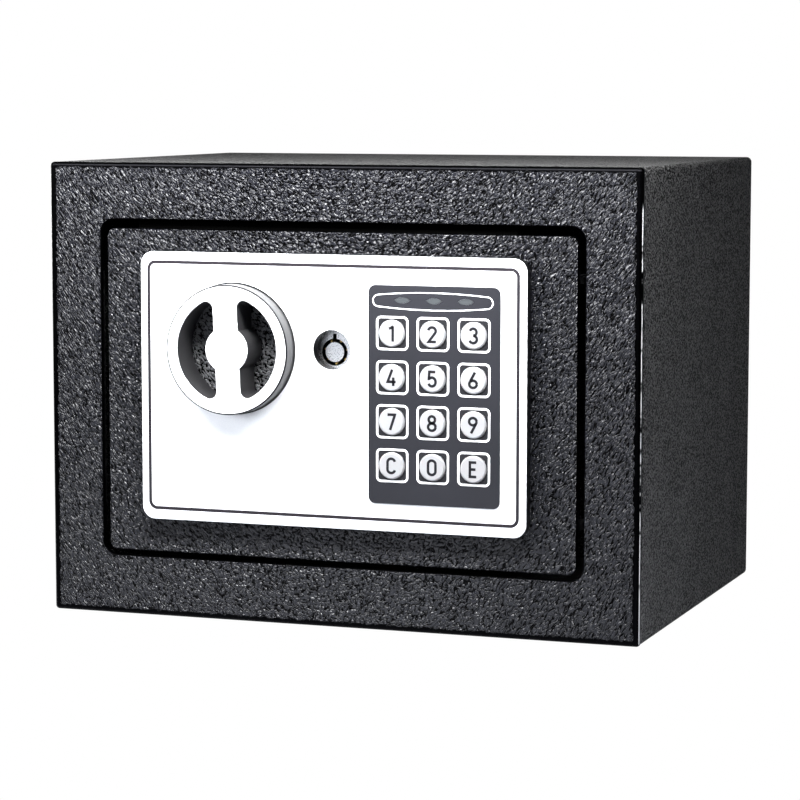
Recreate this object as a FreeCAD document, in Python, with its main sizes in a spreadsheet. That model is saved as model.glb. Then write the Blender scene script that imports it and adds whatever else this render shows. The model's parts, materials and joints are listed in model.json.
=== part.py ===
import FreeCAD, Part
import math
import os

import Sketcher
from FreeCAD import Placement, Rotation, Vector

# A small digital safe: a folded steel cabinet, a plate door on a concealed hinge, two round
# bolts thrown by a knob, a solenoid latch released by a keypad and an emergency tubular lock.
#
# The row frame is in millimetres. The origin is at the middle of the cabinet's underside,
# +X points to the right of someone who faces the door, +Y to the back and +Z up.
# The door is shut and its bolts are drawn back.

SIZES = [
    # Cabinet
    ("cabinet_width", 230.0, "outside width"),
    ("cabinet_depth", 170.0, "outside depth, without the knob"),
    ("cabinet_height", 170.0, "outside height"),
    ("sheet", 1.2, "thickness of the folded body sheet"),
    ("frame_plate", 2.0, "thickness of the front frame's plate"),
    ("bend_radius", 1.5, "outside radius of the front frame's fold"),
    ("corner_radius", 2.0, "outside radius of the body's folds"),
    ("frame_flange", 1.9, "how far the front frame's fold reaches back"),
    ("frame_lap", 6.0, "length of the frame's joggle under the body sheet"),
    ("seam", 0.5, "groove between the frame's fold and the body sheet"),
    ("rear_fold", 9.0, "width of the body's fold behind the back panel"),
    ("opening_radius", 5.0, "corner radius of the door opening"),
    ("opening_edge", 1.2, "rounding of the opening's front edge"),
    # Anchoring
    ("anchor_hole", 5.0, "radius of an anchor hole"),
    ("back_anchor_pitch", 130.0, "distance between the back panel's anchor holes"),
    ("back_anchor_height", 85.0, "height of the back panel's anchor holes"),
    ("base_anchor_pitch", 130.0, "distance between the base's anchor holes"),
    ("base_anchor_y", 15.0, "place of the base's anchor holes behind the middle"),
    ("mat_hole", 8.0, "radius of the mat's holes over the anchor holes"),
    ("mat_thickness", 2.0, "thickness of the felt mat"),
    # Door
    ("door_width", 183.0, "width of the door plate"),
    ("door_height", 121.2, "height of the door plate"),
    ("door_plate", 3.0, "thickness of the door plate"),
    ("door_middle", 85.0, "height of the door's middle"),
    ("opening_middle", 85.6, "height of the opening's middle, a little above the door's"),
    ("door_corner", 3.0, "corner radius of the door plate"),
    ("door_edge", 0.8, "rounding of the door's front edge"),
    ("door_gap", 2.5, "gap between the door and the frame"),
    ("strike_width", 10.0, "width of the strike bar"),
    ("strike_height", 90.0, "height of the strike bar"),
    ("strike_thickness", 4.0, "thickness of the strike bar"),
    ("stop_reach", 5.0, "how far a door stop's ledge reaches into the opening"),
    ("stop_weld", 6.5, "width of a door stop's welded leg"),
    ("stop_left", -80.0, "left end of the door stops"),
    ("stop_right", 68.0, "right end of the door stops"),
    ("stop_gap", 0.4, "gap between the shut door and its stops"),
    # Hinge
    ("pivot_out", 14.0, "hinge axis to the door's edge"),
    ("pivot_back", 10.0, "hinge axis to the door's front face"),
    ("rod_radius", 2.5, "radius of the hinge rod"),
    ("rod_play", 0.06, "radial play of the arms on the rod"),
    ("arm_thickness", 3.0, "thickness of a hinge arm"),
    ("arm_inner", 16.2, "inner radius of an arm's crook"),
    ("arm_outer", 21.2, "outer radius of an arm's crook"),
    ("arm_offset", 44.5, "height of each arm from the door's middle"),
    ("barrel_radius", 5.0, "radius of an arm's barrel"),
    ("barrel_height", 7.4, "height of an arm's barrel"),
    ("arm_root", 4.2, "height of an arm's root over the door plate"),
    ("arm_foot", 2.0, "thickness of an arm's welded foot"),
    ("arm_foot_height", 16.0, "height of an arm's welded foot"),
    ("arm_reach", 32.0, "hinge axis to the far end of an arm's foot"),
    ("bracket_half", 6.0, "half the width of a hinge bracket"),
    ("bracket_leaf", 2.0, "thickness of a bracket's leaf"),
    ("bracket_flange", 11.0, "height of a bracket's welded flange"),
    ("bracket_sheet", 1.5, "thickness of a bracket's welded flange"),
    ("rod_head", 3.8, "radius of the hinge rod's head"),
    # Fascia
    ("fascia_width", 150.0, "width of the fascia"),
    ("fascia_height", 100.0, "height of the fascia"),
    ("fascia_depth", 4.6, "how far the fascia stands off the door"),
    ("fascia_skin", 1.6, "thickness of the fascia's skin and walls"),
    ("fascia_corner", 5.0, "corner radius of the fascia"),
    ("fascia_x", -0.75, "middle of the fascia across the door"),
    ("fascia_z", 87.5, "height of the fascia's middle"),
    ("fascia_screw_out", 66.0, "fascia screws to the fascia's middle, across"),
    ("fascia_screw_up", 38.0, "fascia screws to the fascia's middle, up and down"),
    ("fascia_post", 3.0, "radius of the fascia's screw posts"),
    # Knob
    ("knob_radius", 23.9, "radius of the knob"),
    ("knob_stand", 7.0, "how far the knob's face stands off the fascia"),
    ("knob_x", -38.5, "place of the knob across the door"),
    ("knob_z", 102.3, "height of the knob's axis"),
    ("knob_tilt", 2.6, "angle of the grip bar from upright at rest"),
    ("finger_radius", 19.6, "outer radius of the finger gaps"),
    ("grip_half", 4.75, "half the width of the grip bar"),
    ("hub_radius", 8.35, "radius of the knob's hub"),
    ("finger_corner", 2.7, "corner radius of the finger gaps"),
    ("knob_play", 0.5, "radial gap around the knob"),
    ("spindle_radius", 4.0, "radius of the spindle"),
    ("spindle_square", 5.6, "side of the spindle's square end"),
    ("spindle_play", 0.05, "radial play of the spindle in its bush"),
    ("spindle_grip", 8.0, "length of the spindle inside the knob"),
    ("run_gap", 0.3, "gap between pieces that move past each other"),
    ("small_thread", 1.5, "radius of the small screws"),
    # Bolt work
    ("lock_plate", 1.6, "thickness of the plate that carries the lock"),
    ("bolt_radius", 7.0, "radius of a bolt"),
    ("bolt_play", 0.1, "radial play of a bolt in its guide"),
    ("bolt_pitch", 60.0, "distance between the bolts"),
    ("bolt_back", 13.5, "bolt axis to the door's front face"),
    ("bolt_tip", -89.0, "place of the drawn bolts' ends across the door"),
    ("bolt_throw", 13.77, "travel of the bolts"),
    ("crank_arm", 12.0, "crank pin to the knob's axis"),
    ("crank_swing", 35.0, "swing of the crank to each side of upright"),
    ("crank_pin", 2.0, "radius of the crank pin"),
    ("crank_hub", 7.0, "radius of the crank's hub"),
    ("crank_eye", 4.2, "radius of the crank's outer end"),
    ("slot_play", 0.4, "gap on each side of the crank pin"),
    ("carriage", 1.6, "thickness of the bolt carriage"),
    ("stud_radius", 2.5, "radius of a guide stud"),
    ("bolt_screw", 2.5, "radius of a bolt's screw"),
    ("bolt_thread", 10.0, "length of a screw inside its bolt"),
    # Latch
    ("plunger_x", -1.0, "place of the solenoid plunger across the door"),
    ("plunger_radius", 2.5, "radius of the plunger"),
    ("plunger_tip", 56.0, "height of the drawn plunger's tip"),
    ("plunger_drop", 4.0, "travel of the plunger"),
    ("coil_height", 24.0, "height of the solenoid"),
    ("coil_width", 18.0, "width of the solenoid"),
    ("coil_plate", 1.4, "thickness of the solenoid frame's ends"),
    ("coil_play", 0.4, "radial gap around the plunger"),
    # Emergency lock
    ("lock_x", -1.2, "place of the emergency lock across the door"),
    ("lock_z", 101.6, "height of the emergency lock"),
    ("lock_hole_x", 0.1, "place of the fascia's lock hole across the door"),
    ("lock_hole_z", 103.0, "height of the fascia's lock hole"),
    ("lock_hole", 7.3, "radius of the fascia's lock hole"),
    ("lock_flange", 9.5, "radius of the lock's flange"),
    ("lock_barrel", 7.5, "radius of the lock's barrel"),
    ("lock_length", 20.0, "length of the lock's barrel"),
    ("keyway", 5.0, "outer radius of the tubular keyway"),
    ("keyway_post", 3.6, "radius of the keyway's post"),
    # Keypad
    ("keypad_width", 49.9, "width of the keypad panel"),
    ("keypad_height", 79.4, "height of the keypad panel"),
    ("keypad_x", 39.4, "middle of the keypad across the door"),
    ("keypad_z", 87.4, "height of the keypad's middle"),
    ("keypad_corner", 2.6, "corner radius of the keypad panel"),
    ("panel_thickness", 0.4, "thickness of the keypad panel"),
    ("key_column", 15.5, "distance between the key columns"),
    ("key_row", 16.0, "distance between the key rows"),
    ("key_top_row", 109.8, "height of the top row of keys"),
    ("key_middle_column", 39.1, "place of the middle column across the door"),
    ("key_radius", 4.9, "radius of a key's cap"),
    ("key_stand", 1.1, "how far a key stands off the panel"),
    ("key_bevel", 0.5, "bevel round the front of a key's cap"),
    ("key_flange", 1.1, "how far a key's flange reaches out"),
    ("key_flange_sheet", 0.7, "thickness of a key's flange"),
    ("key_travel", 1.0, "travel of a key"),
    ("key_play", 0.3, "radial gap around a key"),
    ("light_height", 121.7, "height of the row of indicator lights"),
    ("light_pitch", 12.0, "distance between the indicator lights"),
    ("light_length", 6.2, "length of an indicator light's oval window"),
    ("light_rise", 2.3, "height of an indicator light's oval window"),
    ("light_play", 0.1, "gap between a lens and its window"),
    ("layer_width", 45.0, "width of the keypad's mat and board"),
    ("layer_height", 75.0, "height of the keypad's mat and board"),
    # Inner cover and battery box
    ("cover_left", -87.0, "left side of the inner cover"),
    ("cover_right", 72.0, "right side of the inner cover"),
    ("cover_height", 112.0, "height of the inner cover"),
    ("cover_depth", 29.0, "depth of the inner cover"),
    ("cell_radius", 7.25, "radius of an AA cell"),
    ("cell_length", 50.5, "length of an AA cell"),
    ("post_radius", 3.4, "radius of the inner cover's posts"),
    ("board_thickness", 1.6, "thickness of the control board"),
    ("tray_depth", 17.3, "depth of the battery tray"),
    ("window_edge", 2.5, "battery window's edge to the tray's side"),
]

document = FreeCAD.newDocument("DigitalSafe")
sheet = document.addObject("Spreadsheet::Sheet", "Sizes")


class Size:
    """A length or angle, with the sheet expression that it comes from."""

    def __init__(self, value, text):
        self.value = value
        self.text = text

    def __add__(self, other):
        other = as_size(other)
        return Size(self.value + other.value, f"({self.text} + {other.text})")

    def __sub__(self, other):
        other = as_size(other)
        return Size(self.value - other.value, f"({self.text} - {other.text})")

    def __mul__(self, other):
        other = as_size(other)
        return Size(self.value * other.value, f"({self.text} * {other.text})")

    def __truediv__(self, other):
        other = as_size(other)
        return Size(self.value / other.value, f"({self.text} / {other.text})")

    def __radd__(self, other):
        return as_size(other) + self

    def __rsub__(self, other):
        return as_size(other) - self

    def __rmul__(self, other):
        return as_size(other) * self

    def __neg__(self):
        return as_size(0) - self


def as_size(number):
    """The number as a Size, whether it is one already or a plain number."""
    if isinstance(number, Size):
        return number
    return Size(float(number), f"({float(number)})")


class Sheet:
    """The driving dimensions by name, each one a Size bound to its cell."""

    def __init__(self, sizes):
        for row, (name, value, note) in enumerate(sizes, start=1):
            sheet.set(f"A{row}", name)
            sheet.set(f"B{row}", str(value))
            sheet.set(f"C{row}", note)
            sheet.setAlias(f"B{row}", name)
            setattr(self, name, Size(value, f"Sizes.{name}"))


S = Sheet(SIZES)
document.recompute()


# ---------------------------------------------------------------- places that pieces share

half_depth = S.cabinet_depth / 2
front = -half_depth
door_back = front + S.door_plate
lock_plate_back = door_back + S.lock_plate
fascia_front = front - S.fascia_depth
knob_front = fascia_front - S.knob_stand
knob_back = door_back - 0.7
panel_front = fascia_front - S.panel_thickness
cover_back = door_back + S.cover_depth
cover_bottom = S.door_middle - S.cover_height / 2
cover_top = S.door_middle + S.cover_height / 2
opening_width = S.door_width + 2 * S.door_gap
opening_height = S.door_height + 2 * S.door_gap
pivot_x = S.door_width / 2 + S.pivot_out
pivot_y = front + S.pivot_back
bolt_y = front + S.bolt_back
bolt_heights = {
    "upper": S.door_middle + S.bolt_pitch / 2,
    "lower": S.door_middle - S.bolt_pitch / 2,
}
crank_front = lock_plate_back + 1.1
crank_back = crank_front + 2.4
carriage_front = crank_back + 1.9
carriage_back = carriage_front + S.carriage
lock_face = door_back - 1.1
key_flange_front = fascia_front + S.fascia_skin + S.run_gap
key_flange_back = key_flange_front + S.key_flange_sheet
keypad_mat_front = key_flange_back + S.key_travel + 0.4
keypad_board_front = front + 0.2
keypad_board_back = front + 1.4
tray_left = S.cover_right - 57.5


# ---------------------------------------------------------------- drawing helpers


def bind(thing, prop, size):
    """Ties a property to the sheet, so that it follows the driving dimensions."""
    thing.setExpression(prop, as_size(size).text)


def place(thing, x=0, y=0, z=0, rotation=Rotation()):
    """Puts an object at a place that follows the sheet."""
    x, y, z = as_size(x), as_size(y), as_size(z)
    thing.Placement = Placement(Vector(x.value, y.value, z.value), rotation)
    bind(thing, "Placement.Base.x", x)
    bind(thing, "Placement.Base.y", y)
    bind(thing, "Placement.Base.z", z)


def box(name, x, y, z):
    """A block between two places on each axis."""
    block = document.addObject("Part::Box", name)
    for prop, (low, high) in zip(("Length", "Width", "Height"), (x, y, z)):
        bind(block, prop, as_size(high) - low)
    place(block, x[0], y[0], z[0])
    return block


AXIS_TURNS = {
    "x": Rotation(Vector(0, 1, 0), 90),
    "y": Rotation(Vector(1, 0, 0), -90),
    "z": Rotation(),
}


def rod(name, axis, centre, span, radius):
    """A cylinder along an axis; centre is its place on the other two axes, in X, Y, Z order."""
    cylinder = document.addObject("Part::Cylinder", name)
    bind(cylinder, "Radius", radius)
    bind(cylinder, "Height", as_size(span[1]) - span[0])
    first, second = centre
    spots = {
        "x": (span[0], first, second),
        "y": (first, span[0], second),
        "z": (first, second, span[0]),
    }
    place(cylinder, *spots[axis], rotation=AXIS_TURNS[axis])
    return cylinder


def fuse(name, pieces):
    """One solid from several that touch or overlap."""
    union = document.addObject("Part::MultiFuse", name)
    union.Shapes = pieces
    union.Refine = True
    return union


def cut(name, base, tools):
    """The base with the tools taken away."""
    difference = document.addObject("Part::Cut", name)
    difference.Base = base
    difference.Tool = tools[0] if len(tools) == 1 else fuse(name + "_tools", tools)
    difference.Refine = True
    return difference


def group(name, pieces):
    """Separate solids of one kind, kept together."""
    compound = document.addObject("Part::Compound", name)
    compound.Links = pieces
    return compound


def turned(name, centre, steps, axis="y"):
    """A round piece along an axis from (start, end, radius) steps."""
    rods = [
        rod(f"{name}_step{number}", axis, centre, (start, end), radius)
        for number, (start, end, radius) in enumerate(steps)
    ]
    return rods[0] if len(rods) == 1 else fuse(name, rods)


class Plate:
    """A PartDesign body made of sketches on its own origin planes.

    A front sketch's pad reaches forward from its plane and its pocket cuts backward. A level
    sketch's pad reaches up and its pocket cuts down. A side sketch's pocket cuts to the left.
    """

    def __init__(self, name):
        self.name = name
        self.body = document.addObject("PartDesign::Body", name)
        self.count = 0

    def sketch(self, level, role="XZ_Plane"):
        self.count += 1
        drawing = self.body.newObject("Sketcher::SketchObject", f"{self.name}_sketch{self.count}")
        plane = next(f for f in self.body.Origin.OriginFeatures if f.Role == role)
        drawing.AttachmentSupport = [(plane, "")]
        drawing.MapMode = "FlatFace"
        offset = -as_size(level) if role == "XZ_Plane" else as_size(level)
        drawing.setExpression("AttachmentOffset.Base.z", offset.text)
        return drawing

    def pad(self, drawing, length):
        feature = self.body.newObject("PartDesign::Pad", f"{self.name}_pad{self.count}")
        feature.Profile = drawing
        bind(feature, "Length", length)
        return feature

    def pocket(self, drawing, length):
        document.recompute()
        before = self.body.Shape.Volume
        feature = self.body.newObject("PartDesign::Pocket", f"{self.name}_pocket{self.count}")
        feature.Profile = drawing
        bind(feature, "Length", length)
        document.recompute()
        if self.body.Shape.Volume >= before:
            raise RuntimeError(f"{feature.Name} cuts nothing")
        return feature

    def round_edges(self, wanted, radius):
        """Rounds the edges that a test picks from the tip's shape."""
        document.recompute()
        tip = self.body.Tip
        names = [f"Edge{n}" for n, edge in enumerate(tip.Shape.Edges, start=1) if wanted(edge)]
        if not names:
            raise RuntimeError(f"{self.name} has no edge to round")
        feature = self.body.newObject("PartDesign::Fillet", f"{self.name}_fillet{self.count}")
        feature.Base = (tip, names)
        bind(feature, "Radius", radius)
        return feature


def fix_point(drawing, element, point, x, z):
    """Ties a point of a sketch to the sketch's origin."""
    for kind, size in (("DistanceX", x), ("DistanceY", z)):
        size = as_size(size)
        spot = drawing.addConstraint(
            Sketcher.Constraint(kind, -1, 1, element, point, size.value)
        )
        drawing.setExpression(f"Constraints[{spot}]", size.text)


def draw_circle(drawing, x, z, radius):
    """A circle with its middle and radius tied to the sheet."""
    x, z, radius = as_size(x), as_size(z), as_size(radius)
    middle = Vector(x.value, z.value, 0)
    circle = drawing.addGeometry(Part.Circle(middle, Vector(0, 0, 1), radius.value))
    fix_point(drawing, circle, 3, x, z)
    spot = drawing.addConstraint(Sketcher.Constraint("Radius", circle, radius.value))
    drawing.setExpression(f"Constraints[{spot}]", radius.text)


def draw_polygon(drawing, points):
    """A closed outline of straight runs with every corner tied to the sheet."""
    corners = [Vector(as_size(x).value, as_size(z).value, 0) for x, z in points]
    ends = corners[1:] + corners[:1]
    lines = [
        drawing.addGeometry(Part.LineSegment(start, end)) for start, end in zip(corners, ends)
    ]
    for number, line in enumerate(lines):
        following = lines[(number + 1) % len(lines)]
        drawing.addConstraint(Sketcher.Constraint("Coincident", line, 2, following, 1))
    for line, (x, z) in zip(lines, points):
        fix_point(drawing, line, 1, x, z)


def draw_slot(drawing, x, z, length, radius):
    """A level slot with round ends; length is between the middles of the ends."""
    x, z, length, radius = as_size(x), as_size(z), as_size(length), as_size(radius)
    left = Vector((x - length / 2).value, z.value, 0)
    right = Vector((x + length / 2).value, z.value, 0)
    up = Vector(0, radius.value, 0)
    flat = Vector(0, 0, 1)
    quarter = math.pi / 2
    end_left = Part.ArcOfCircle(Part.Circle(left, flat, radius.value), quarter, 3 * quarter)
    end_right = Part.ArcOfCircle(Part.Circle(right, flat, radius.value), -quarter, quarter)
    low = drawing.addGeometry(Part.LineSegment(left - up, right - up))
    right_arc = drawing.addGeometry(end_right)
    high = drawing.addGeometry(Part.LineSegment(right + up, left + up))
    left_arc = drawing.addGeometry(end_left)
    drawing.addConstraint(Sketcher.Constraint("Tangent", low, 2, right_arc, 1))
    drawing.addConstraint(Sketcher.Constraint("Tangent", right_arc, 2, high, 1))
    drawing.addConstraint(Sketcher.Constraint("Tangent", high, 2, left_arc, 1))
    drawing.addConstraint(Sketcher.Constraint("Tangent", left_arc, 2, low, 1))
    fix_point(drawing, right_arc, 3, x + length / 2, z)
    fix_point(drawing, left_arc, 3, x - length / 2, z)
    drawing.addConstraint(Sketcher.Constraint("Equal", right_arc, left_arc))
    spot = drawing.addConstraint(Sketcher.Constraint("Radius", right_arc, radius.value))
    drawing.setExpression(f"Constraints[{spot}]", radius.text)


def draw_oval(drawing, x, z, length, height):
    """A level oval with pointed ends, between two equal arcs."""
    x, z, length, height = as_size(x), as_size(z), as_size(length), as_size(height)
    half, rise = length / 2, height / 2
    radius = (half * half + rise * rise) / height
    left = Vector((x - half).value, z.value, 0)
    right = Vector((x + half).value, z.value, 0)
    up = Vector(0, rise.value, 0)
    middle = Vector(x.value, z.value, 0)
    high = drawing.addGeometry(Part.Arc(right, middle + up, left))
    low = drawing.addGeometry(Part.Arc(left, middle - up, right))
    fix_point(drawing, high, 1, x + half, z)
    fix_point(drawing, high, 2, x - half, z)
    drawing.addConstraint(Sketcher.Constraint("Coincident", high, 2, low, 1))
    drawing.addConstraint(Sketcher.Constraint("Coincident", low, 2, high, 1))
    spot = drawing.addConstraint(Sketcher.Constraint("Radius", high, radius.value))
    drawing.setExpression(f"Constraints[{spot}]", radius.text)
    drawing.addConstraint(Sketcher.Constraint("Equal", high, low))


def draw_rounded(drawing, x, z, width, height, radius):
    """A rectangle with round corners, by its middle, size and corner radius."""
    x, z, radius = as_size(x), as_size(z), as_size(radius)
    across = as_size(width) / 2 - radius
    up = as_size(height) / 2 - radius
    middles = [(x + across, z + up), (x - across, z + up), (x - across, z - up), (x + across, z - up)]
    arcs = []
    for number, (cx, cz) in enumerate(middles):
        start = number * math.pi / 2
        circle = Part.Circle(Vector(cx.value, cz.value, 0), Vector(0, 0, 1), radius.value)
        arcs.append(drawing.addGeometry(Part.ArcOfCircle(circle, start, start + math.pi / 2)))
    lines = []
    for number, arc in enumerate(arcs):
        following = arcs[(number + 1) % len(arcs)]
        begin = drawing.getPoint(arc, 2)
        end = drawing.getPoint(following, 1)
        lines.append(drawing.addGeometry(Part.LineSegment(begin, end)))
    for number, arc in enumerate(arcs):
        following = arcs[(number + 1) % len(arcs)]
        drawing.addConstraint(Sketcher.Constraint("Tangent", arc, 2, lines[number], 1))
        drawing.addConstraint(Sketcher.Constraint("Tangent", lines[number], 2, following, 1))
    for arc, (cx, cz) in zip(arcs, middles):
        fix_point(drawing, arc, 3, cx, cz)
    for arc in arcs[1:]:
        drawing.addConstraint(Sketcher.Constraint("Equal", arcs[0], arc))
    spot = drawing.addConstraint(Sketcher.Constraint("Radius", arcs[0], radius.value))
    drawing.setExpression(f"Constraints[{spot}]", radius.text)


# ---------------------------------------------------------------- cabinet


def front_frame():
    """The front: a plate with the door opening, folded back and joggled under the body."""
    plate = Plate("front_frame")
    middle = S.cabinet_height / 2
    flange_back = front + S.frame_flange
    lap = 2 * S.sheet
    drawing = plate.sketch(flange_back + S.frame_lap)
    lap_width = S.cabinet_width - lap
    lap_height = S.cabinet_height - lap
    draw_rounded(drawing, 0, middle, lap_width, lap_height, S.corner_radius - S.sheet)
    plate.pad(drawing, S.frame_flange + S.frame_lap)
    drawing = plate.sketch(flange_back)
    draw_rounded(drawing, 0, middle, S.cabinet_width, S.cabinet_height, S.bend_radius)
    plate.pad(drawing, S.frame_flange)
    plate.round_edges(lambda edge: edge.BoundBox.YMax < front.value + 0.01, S.bend_radius)
    drawing = plate.sketch(front + S.frame_plate)
    inside_width = lap_width - lap
    inside_height = lap_height - lap
    draw_rounded(drawing, 0, middle, inside_width, inside_height, 1)
    plate.pocket(drawing, S.frame_flange + S.frame_lap)
    drawing = plate.sketch(front)
    draw_rounded(drawing, 0, S.opening_middle, opening_width, opening_height, S.opening_radius)
    plate.pocket(drawing, S.frame_plate)
    reach = (opening_width / 2).value + 0.01

    def opening_edge(edge):
        limits = edge.BoundBox
        return limits.YMax < front.value + 0.01 and limits.XMax < reach and limits.XMin > -reach

    plate.round_edges(opening_edge, S.opening_edge)


def body_wrap():
    """Top, sides and bottom as one folded sheet, with a fold inward at the back."""
    plate = Plate("body_wrap")
    middle = S.cabinet_height / 2
    wrap_front = front + S.frame_flange + S.seam
    drawing = plate.sketch(half_depth)
    draw_rounded(drawing, 0, middle, S.cabinet_width, S.cabinet_height, S.corner_radius)
    plate.pad(drawing, half_depth - wrap_front)
    plate.round_edges(lambda edge: edge.BoundBox.YMin > half_depth.value - 0.01, S.corner_radius)
    drawing = plate.sketch(wrap_front)
    inside_width = S.cabinet_width - 2 * S.sheet
    inside_height = S.cabinet_height - 2 * S.sheet
    inside_radius = S.corner_radius - S.sheet
    draw_rounded(drawing, 0, middle, inside_width, inside_height, inside_radius)
    plate.pocket(drawing, half_depth - S.sheet - wrap_front)
    drawing = plate.sketch(half_depth - S.sheet)
    fold = 2 * S.rear_fold
    draw_rounded(drawing, 0, middle, S.cabinet_width - fold, S.cabinet_height - fold, 3)
    plate.pocket(drawing, 2 * S.sheet)
    drawing = plate.sketch(S.sheet, "XY_Plane")
    for side in (-1, 1):
        draw_circle(drawing, side * S.base_anchor_pitch / 2, S.base_anchor_y, S.anchor_hole)
    plate.pocket(drawing, 2 * S.sheet)


def back_panel():
    """The flat back, welded against the body's fold, with two anchor holes."""
    plate = Plate("back_panel")
    drawing = plate.sketch(half_depth - S.sheet)
    slack = 2 * S.sheet + 0.4
    middle = S.cabinet_height / 2
    draw_rounded(drawing, 0, middle, S.cabinet_width - slack, S.cabinet_height - slack, 1)
    for side in (-1, 1):
        draw_circle(drawing, side * S.back_anchor_pitch / 2, S.back_anchor_height, S.anchor_hole)
    plate.pad(drawing, S.sheet)


def floor_mat():
    """The felt mat on the floor of the cabinet, cut out over the anchor holes."""
    plate = Plate("floor_mat")
    mat_front = front + 13
    mat_back = half_depth - 4
    drawing = plate.sketch(S.sheet, "XY_Plane")
    depth = mat_back - mat_front
    draw_rounded(drawing, 0, (mat_front + mat_back) / 2, S.cabinet_width - 6, depth, 3)
    for side in (-1, 1):
        draw_circle(drawing, side * S.base_anchor_pitch / 2, S.base_anchor_y, S.mat_hole)
    plate.pad(drawing, S.mat_thickness)


def strike_bar():
    """The bar behind the frame's left edge that the thrown bolts slide behind."""
    plate = Plate("strike_bar")
    drawing = plate.sketch(front + S.frame_plate + S.strike_thickness)
    middle = -opening_width / 2 - 1.5 - S.strike_width / 2
    draw_rounded(drawing, middle, S.door_middle, S.strike_width, S.strike_height, 1.5)
    plate.pad(drawing, S.strike_thickness)


def door_stop(name, side):
    """An angle along the opening's top or bottom, with a ledge that stops the door."""
    length = (S.stop_left, S.stop_right)
    edge = S.opening_middle + side * opening_height / 2
    ledge_inner = edge - side * S.stop_reach
    weld_inner = edge + side * 1.3
    weld_outer = weld_inner + side * S.stop_weld
    ledge_front = door_back + S.stop_gap

    def span(first, second):
        return (first, second) if side > 0 else (second, first)

    ledge = box(name + "_ledge", length, (ledge_front, ledge_front + S.sheet),
                span(ledge_inner, weld_outer))
    weld = box(name + "_weld", length, (front + S.frame_plate, ledge_front + S.sheet),
               span(weld_inner, weld_outer))
    fuse(name, [ledge, weld])


# ---------------------------------------------------------------- hinge


def hinge_bracket(name, side):
    """A leaf that holds one end of the hinge rod, with a flange welded to the frame."""
    middle = S.door_middle + side * S.arm_offset
    leaf_near = middle + side * (S.barrel_height / 2 + S.run_gap)
    leaf_far = leaf_near + side * S.bracket_leaf
    flange_far = leaf_far + side * S.bracket_flange

    def span(first, second):
        return (first, second) if side > 0 else (second, first)

    width = (pivot_x - S.bracket_half, pivot_x + S.bracket_half)
    frame_back = front + S.frame_plate
    leaf = box(name + "_leaf", width, (frame_back, pivot_y), span(leaf_near, leaf_far))
    nose = rod(name + "_nose", "z", (pivot_x, pivot_y), span(leaf_near, leaf_far),
               S.bracket_half)
    flange = box(name + "_flange", width, (frame_back, frame_back + S.bracket_sheet),
                 span(leaf_near, flange_far))
    solid = fuse(name + "_solid", [leaf, nose, flange])
    hole = rod(name + "_hole", "z", (pivot_x, pivot_y), span(leaf_near - side, leaf_far + side),
               S.rod_radius)
    cut(name, solid, [hole])


def hinge_rod():
    """The rod through both brackets and both arms, with a head on the upper bracket."""
    reach = S.arm_offset + S.barrel_height / 2 + S.run_gap + S.bracket_leaf
    low = S.door_middle - reach - 3
    high = S.door_middle + reach
    steps = [(low, high, S.rod_radius), (high, high + 2, S.rod_head)]
    turned("hinge_rod", (pivot_x, pivot_y), steps, axis="z")


def hinge_arm(name, side):
    """A crooked arm that carries the door round the edge of the frame."""
    crook_start = 96
    crook_angle = 112
    middle = S.door_middle + side * S.arm_offset
    level = (middle - S.arm_thickness / 2, middle + S.arm_thickness / 2)
    sector = rod(name + "_sector", "z", (pivot_x, pivot_y), level, S.arm_outer)
    sector.Angle = crook_angle
    turn = Rotation(Vector(0, 0, 1), crook_start)
    place(sector, pivot_x, pivot_y, level[0], turn)
    core = rod(name + "_core", "z", (pivot_x, pivot_y), level, S.arm_inner)
    ahead = box(name + "_ahead", (pivot_x - 30, pivot_x), (front - 20, door_back), level)
    crook = cut(name + "_crook", sector, [core, ahead])
    spoke = box(name + "_spoke", (pivot_x - 4.5, pivot_x + 4.5),
                (pivot_y, pivot_y + S.arm_inner + 2), level)
    barrel_span = (middle - S.barrel_height / 2, middle + S.barrel_height / 2)
    barrel = rod(name + "_barrel", "z", (pivot_x, pivot_y), barrel_span, S.barrel_radius)
    width = (pivot_x - S.arm_reach, pivot_x - S.arm_inner)
    root = box(name + "_root", width, (door_back, door_back + S.arm_root), level)
    foot_height = (middle - S.arm_foot_height / 2, middle + S.arm_foot_height / 2)
    foot = box(name + "_foot", width, (door_back, door_back + S.arm_foot), foot_height)
    solid = fuse(name + "_solid", [crook, spoke, barrel, root, foot])
    hole = rod(name + "_hole", "z", (pivot_x, pivot_y), (middle - 10, middle + 10),
               S.rod_radius + S.rod_play)
    cut(name, solid, [hole])


# ---------------------------------------------------------------- door

fascia_screw_spots = [
    (S.fascia_x + across * S.fascia_screw_out, S.fascia_z + up * S.fascia_screw_up)
    for across in (-1, 1)
    for up in (-1, 1)
]
cover_screw_spots = [
    (x, z)
    for x in (S.cover_left + 7, S.cover_right - 6)
    for z in (cover_bottom + 7.5, cover_top - 7.5)
]


def door_plate():
    """The door: a thick plate cut out behind the knob, the lock and the keypad."""
    plate = Plate("door_plate")
    drawing = plate.sketch(door_back)
    draw_rounded(drawing, 0, S.door_middle, S.door_width, S.door_height, S.door_corner)
    plate.pad(drawing, S.door_plate)
    plate.round_edges(lambda edge: edge.BoundBox.YMax < front.value + 0.01, S.door_edge)
    drawing = plate.sketch(front)
    draw_circle(drawing, S.knob_x, S.knob_z, S.knob_radius + 2 * S.knob_play)
    draw_circle(drawing, S.lock_x, S.lock_z, S.lock_flange + S.knob_play)
    slack = 2
    window_width, window_height = S.layer_width + slack, S.layer_height + slack
    draw_rounded(drawing, S.keypad_x, S.keypad_z, window_width, window_height, 2)
    for x, z in fascia_screw_spots:
        draw_circle(drawing, x, z, S.small_thread + 0.2)
    plate.pocket(drawing, S.door_plate)


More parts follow.
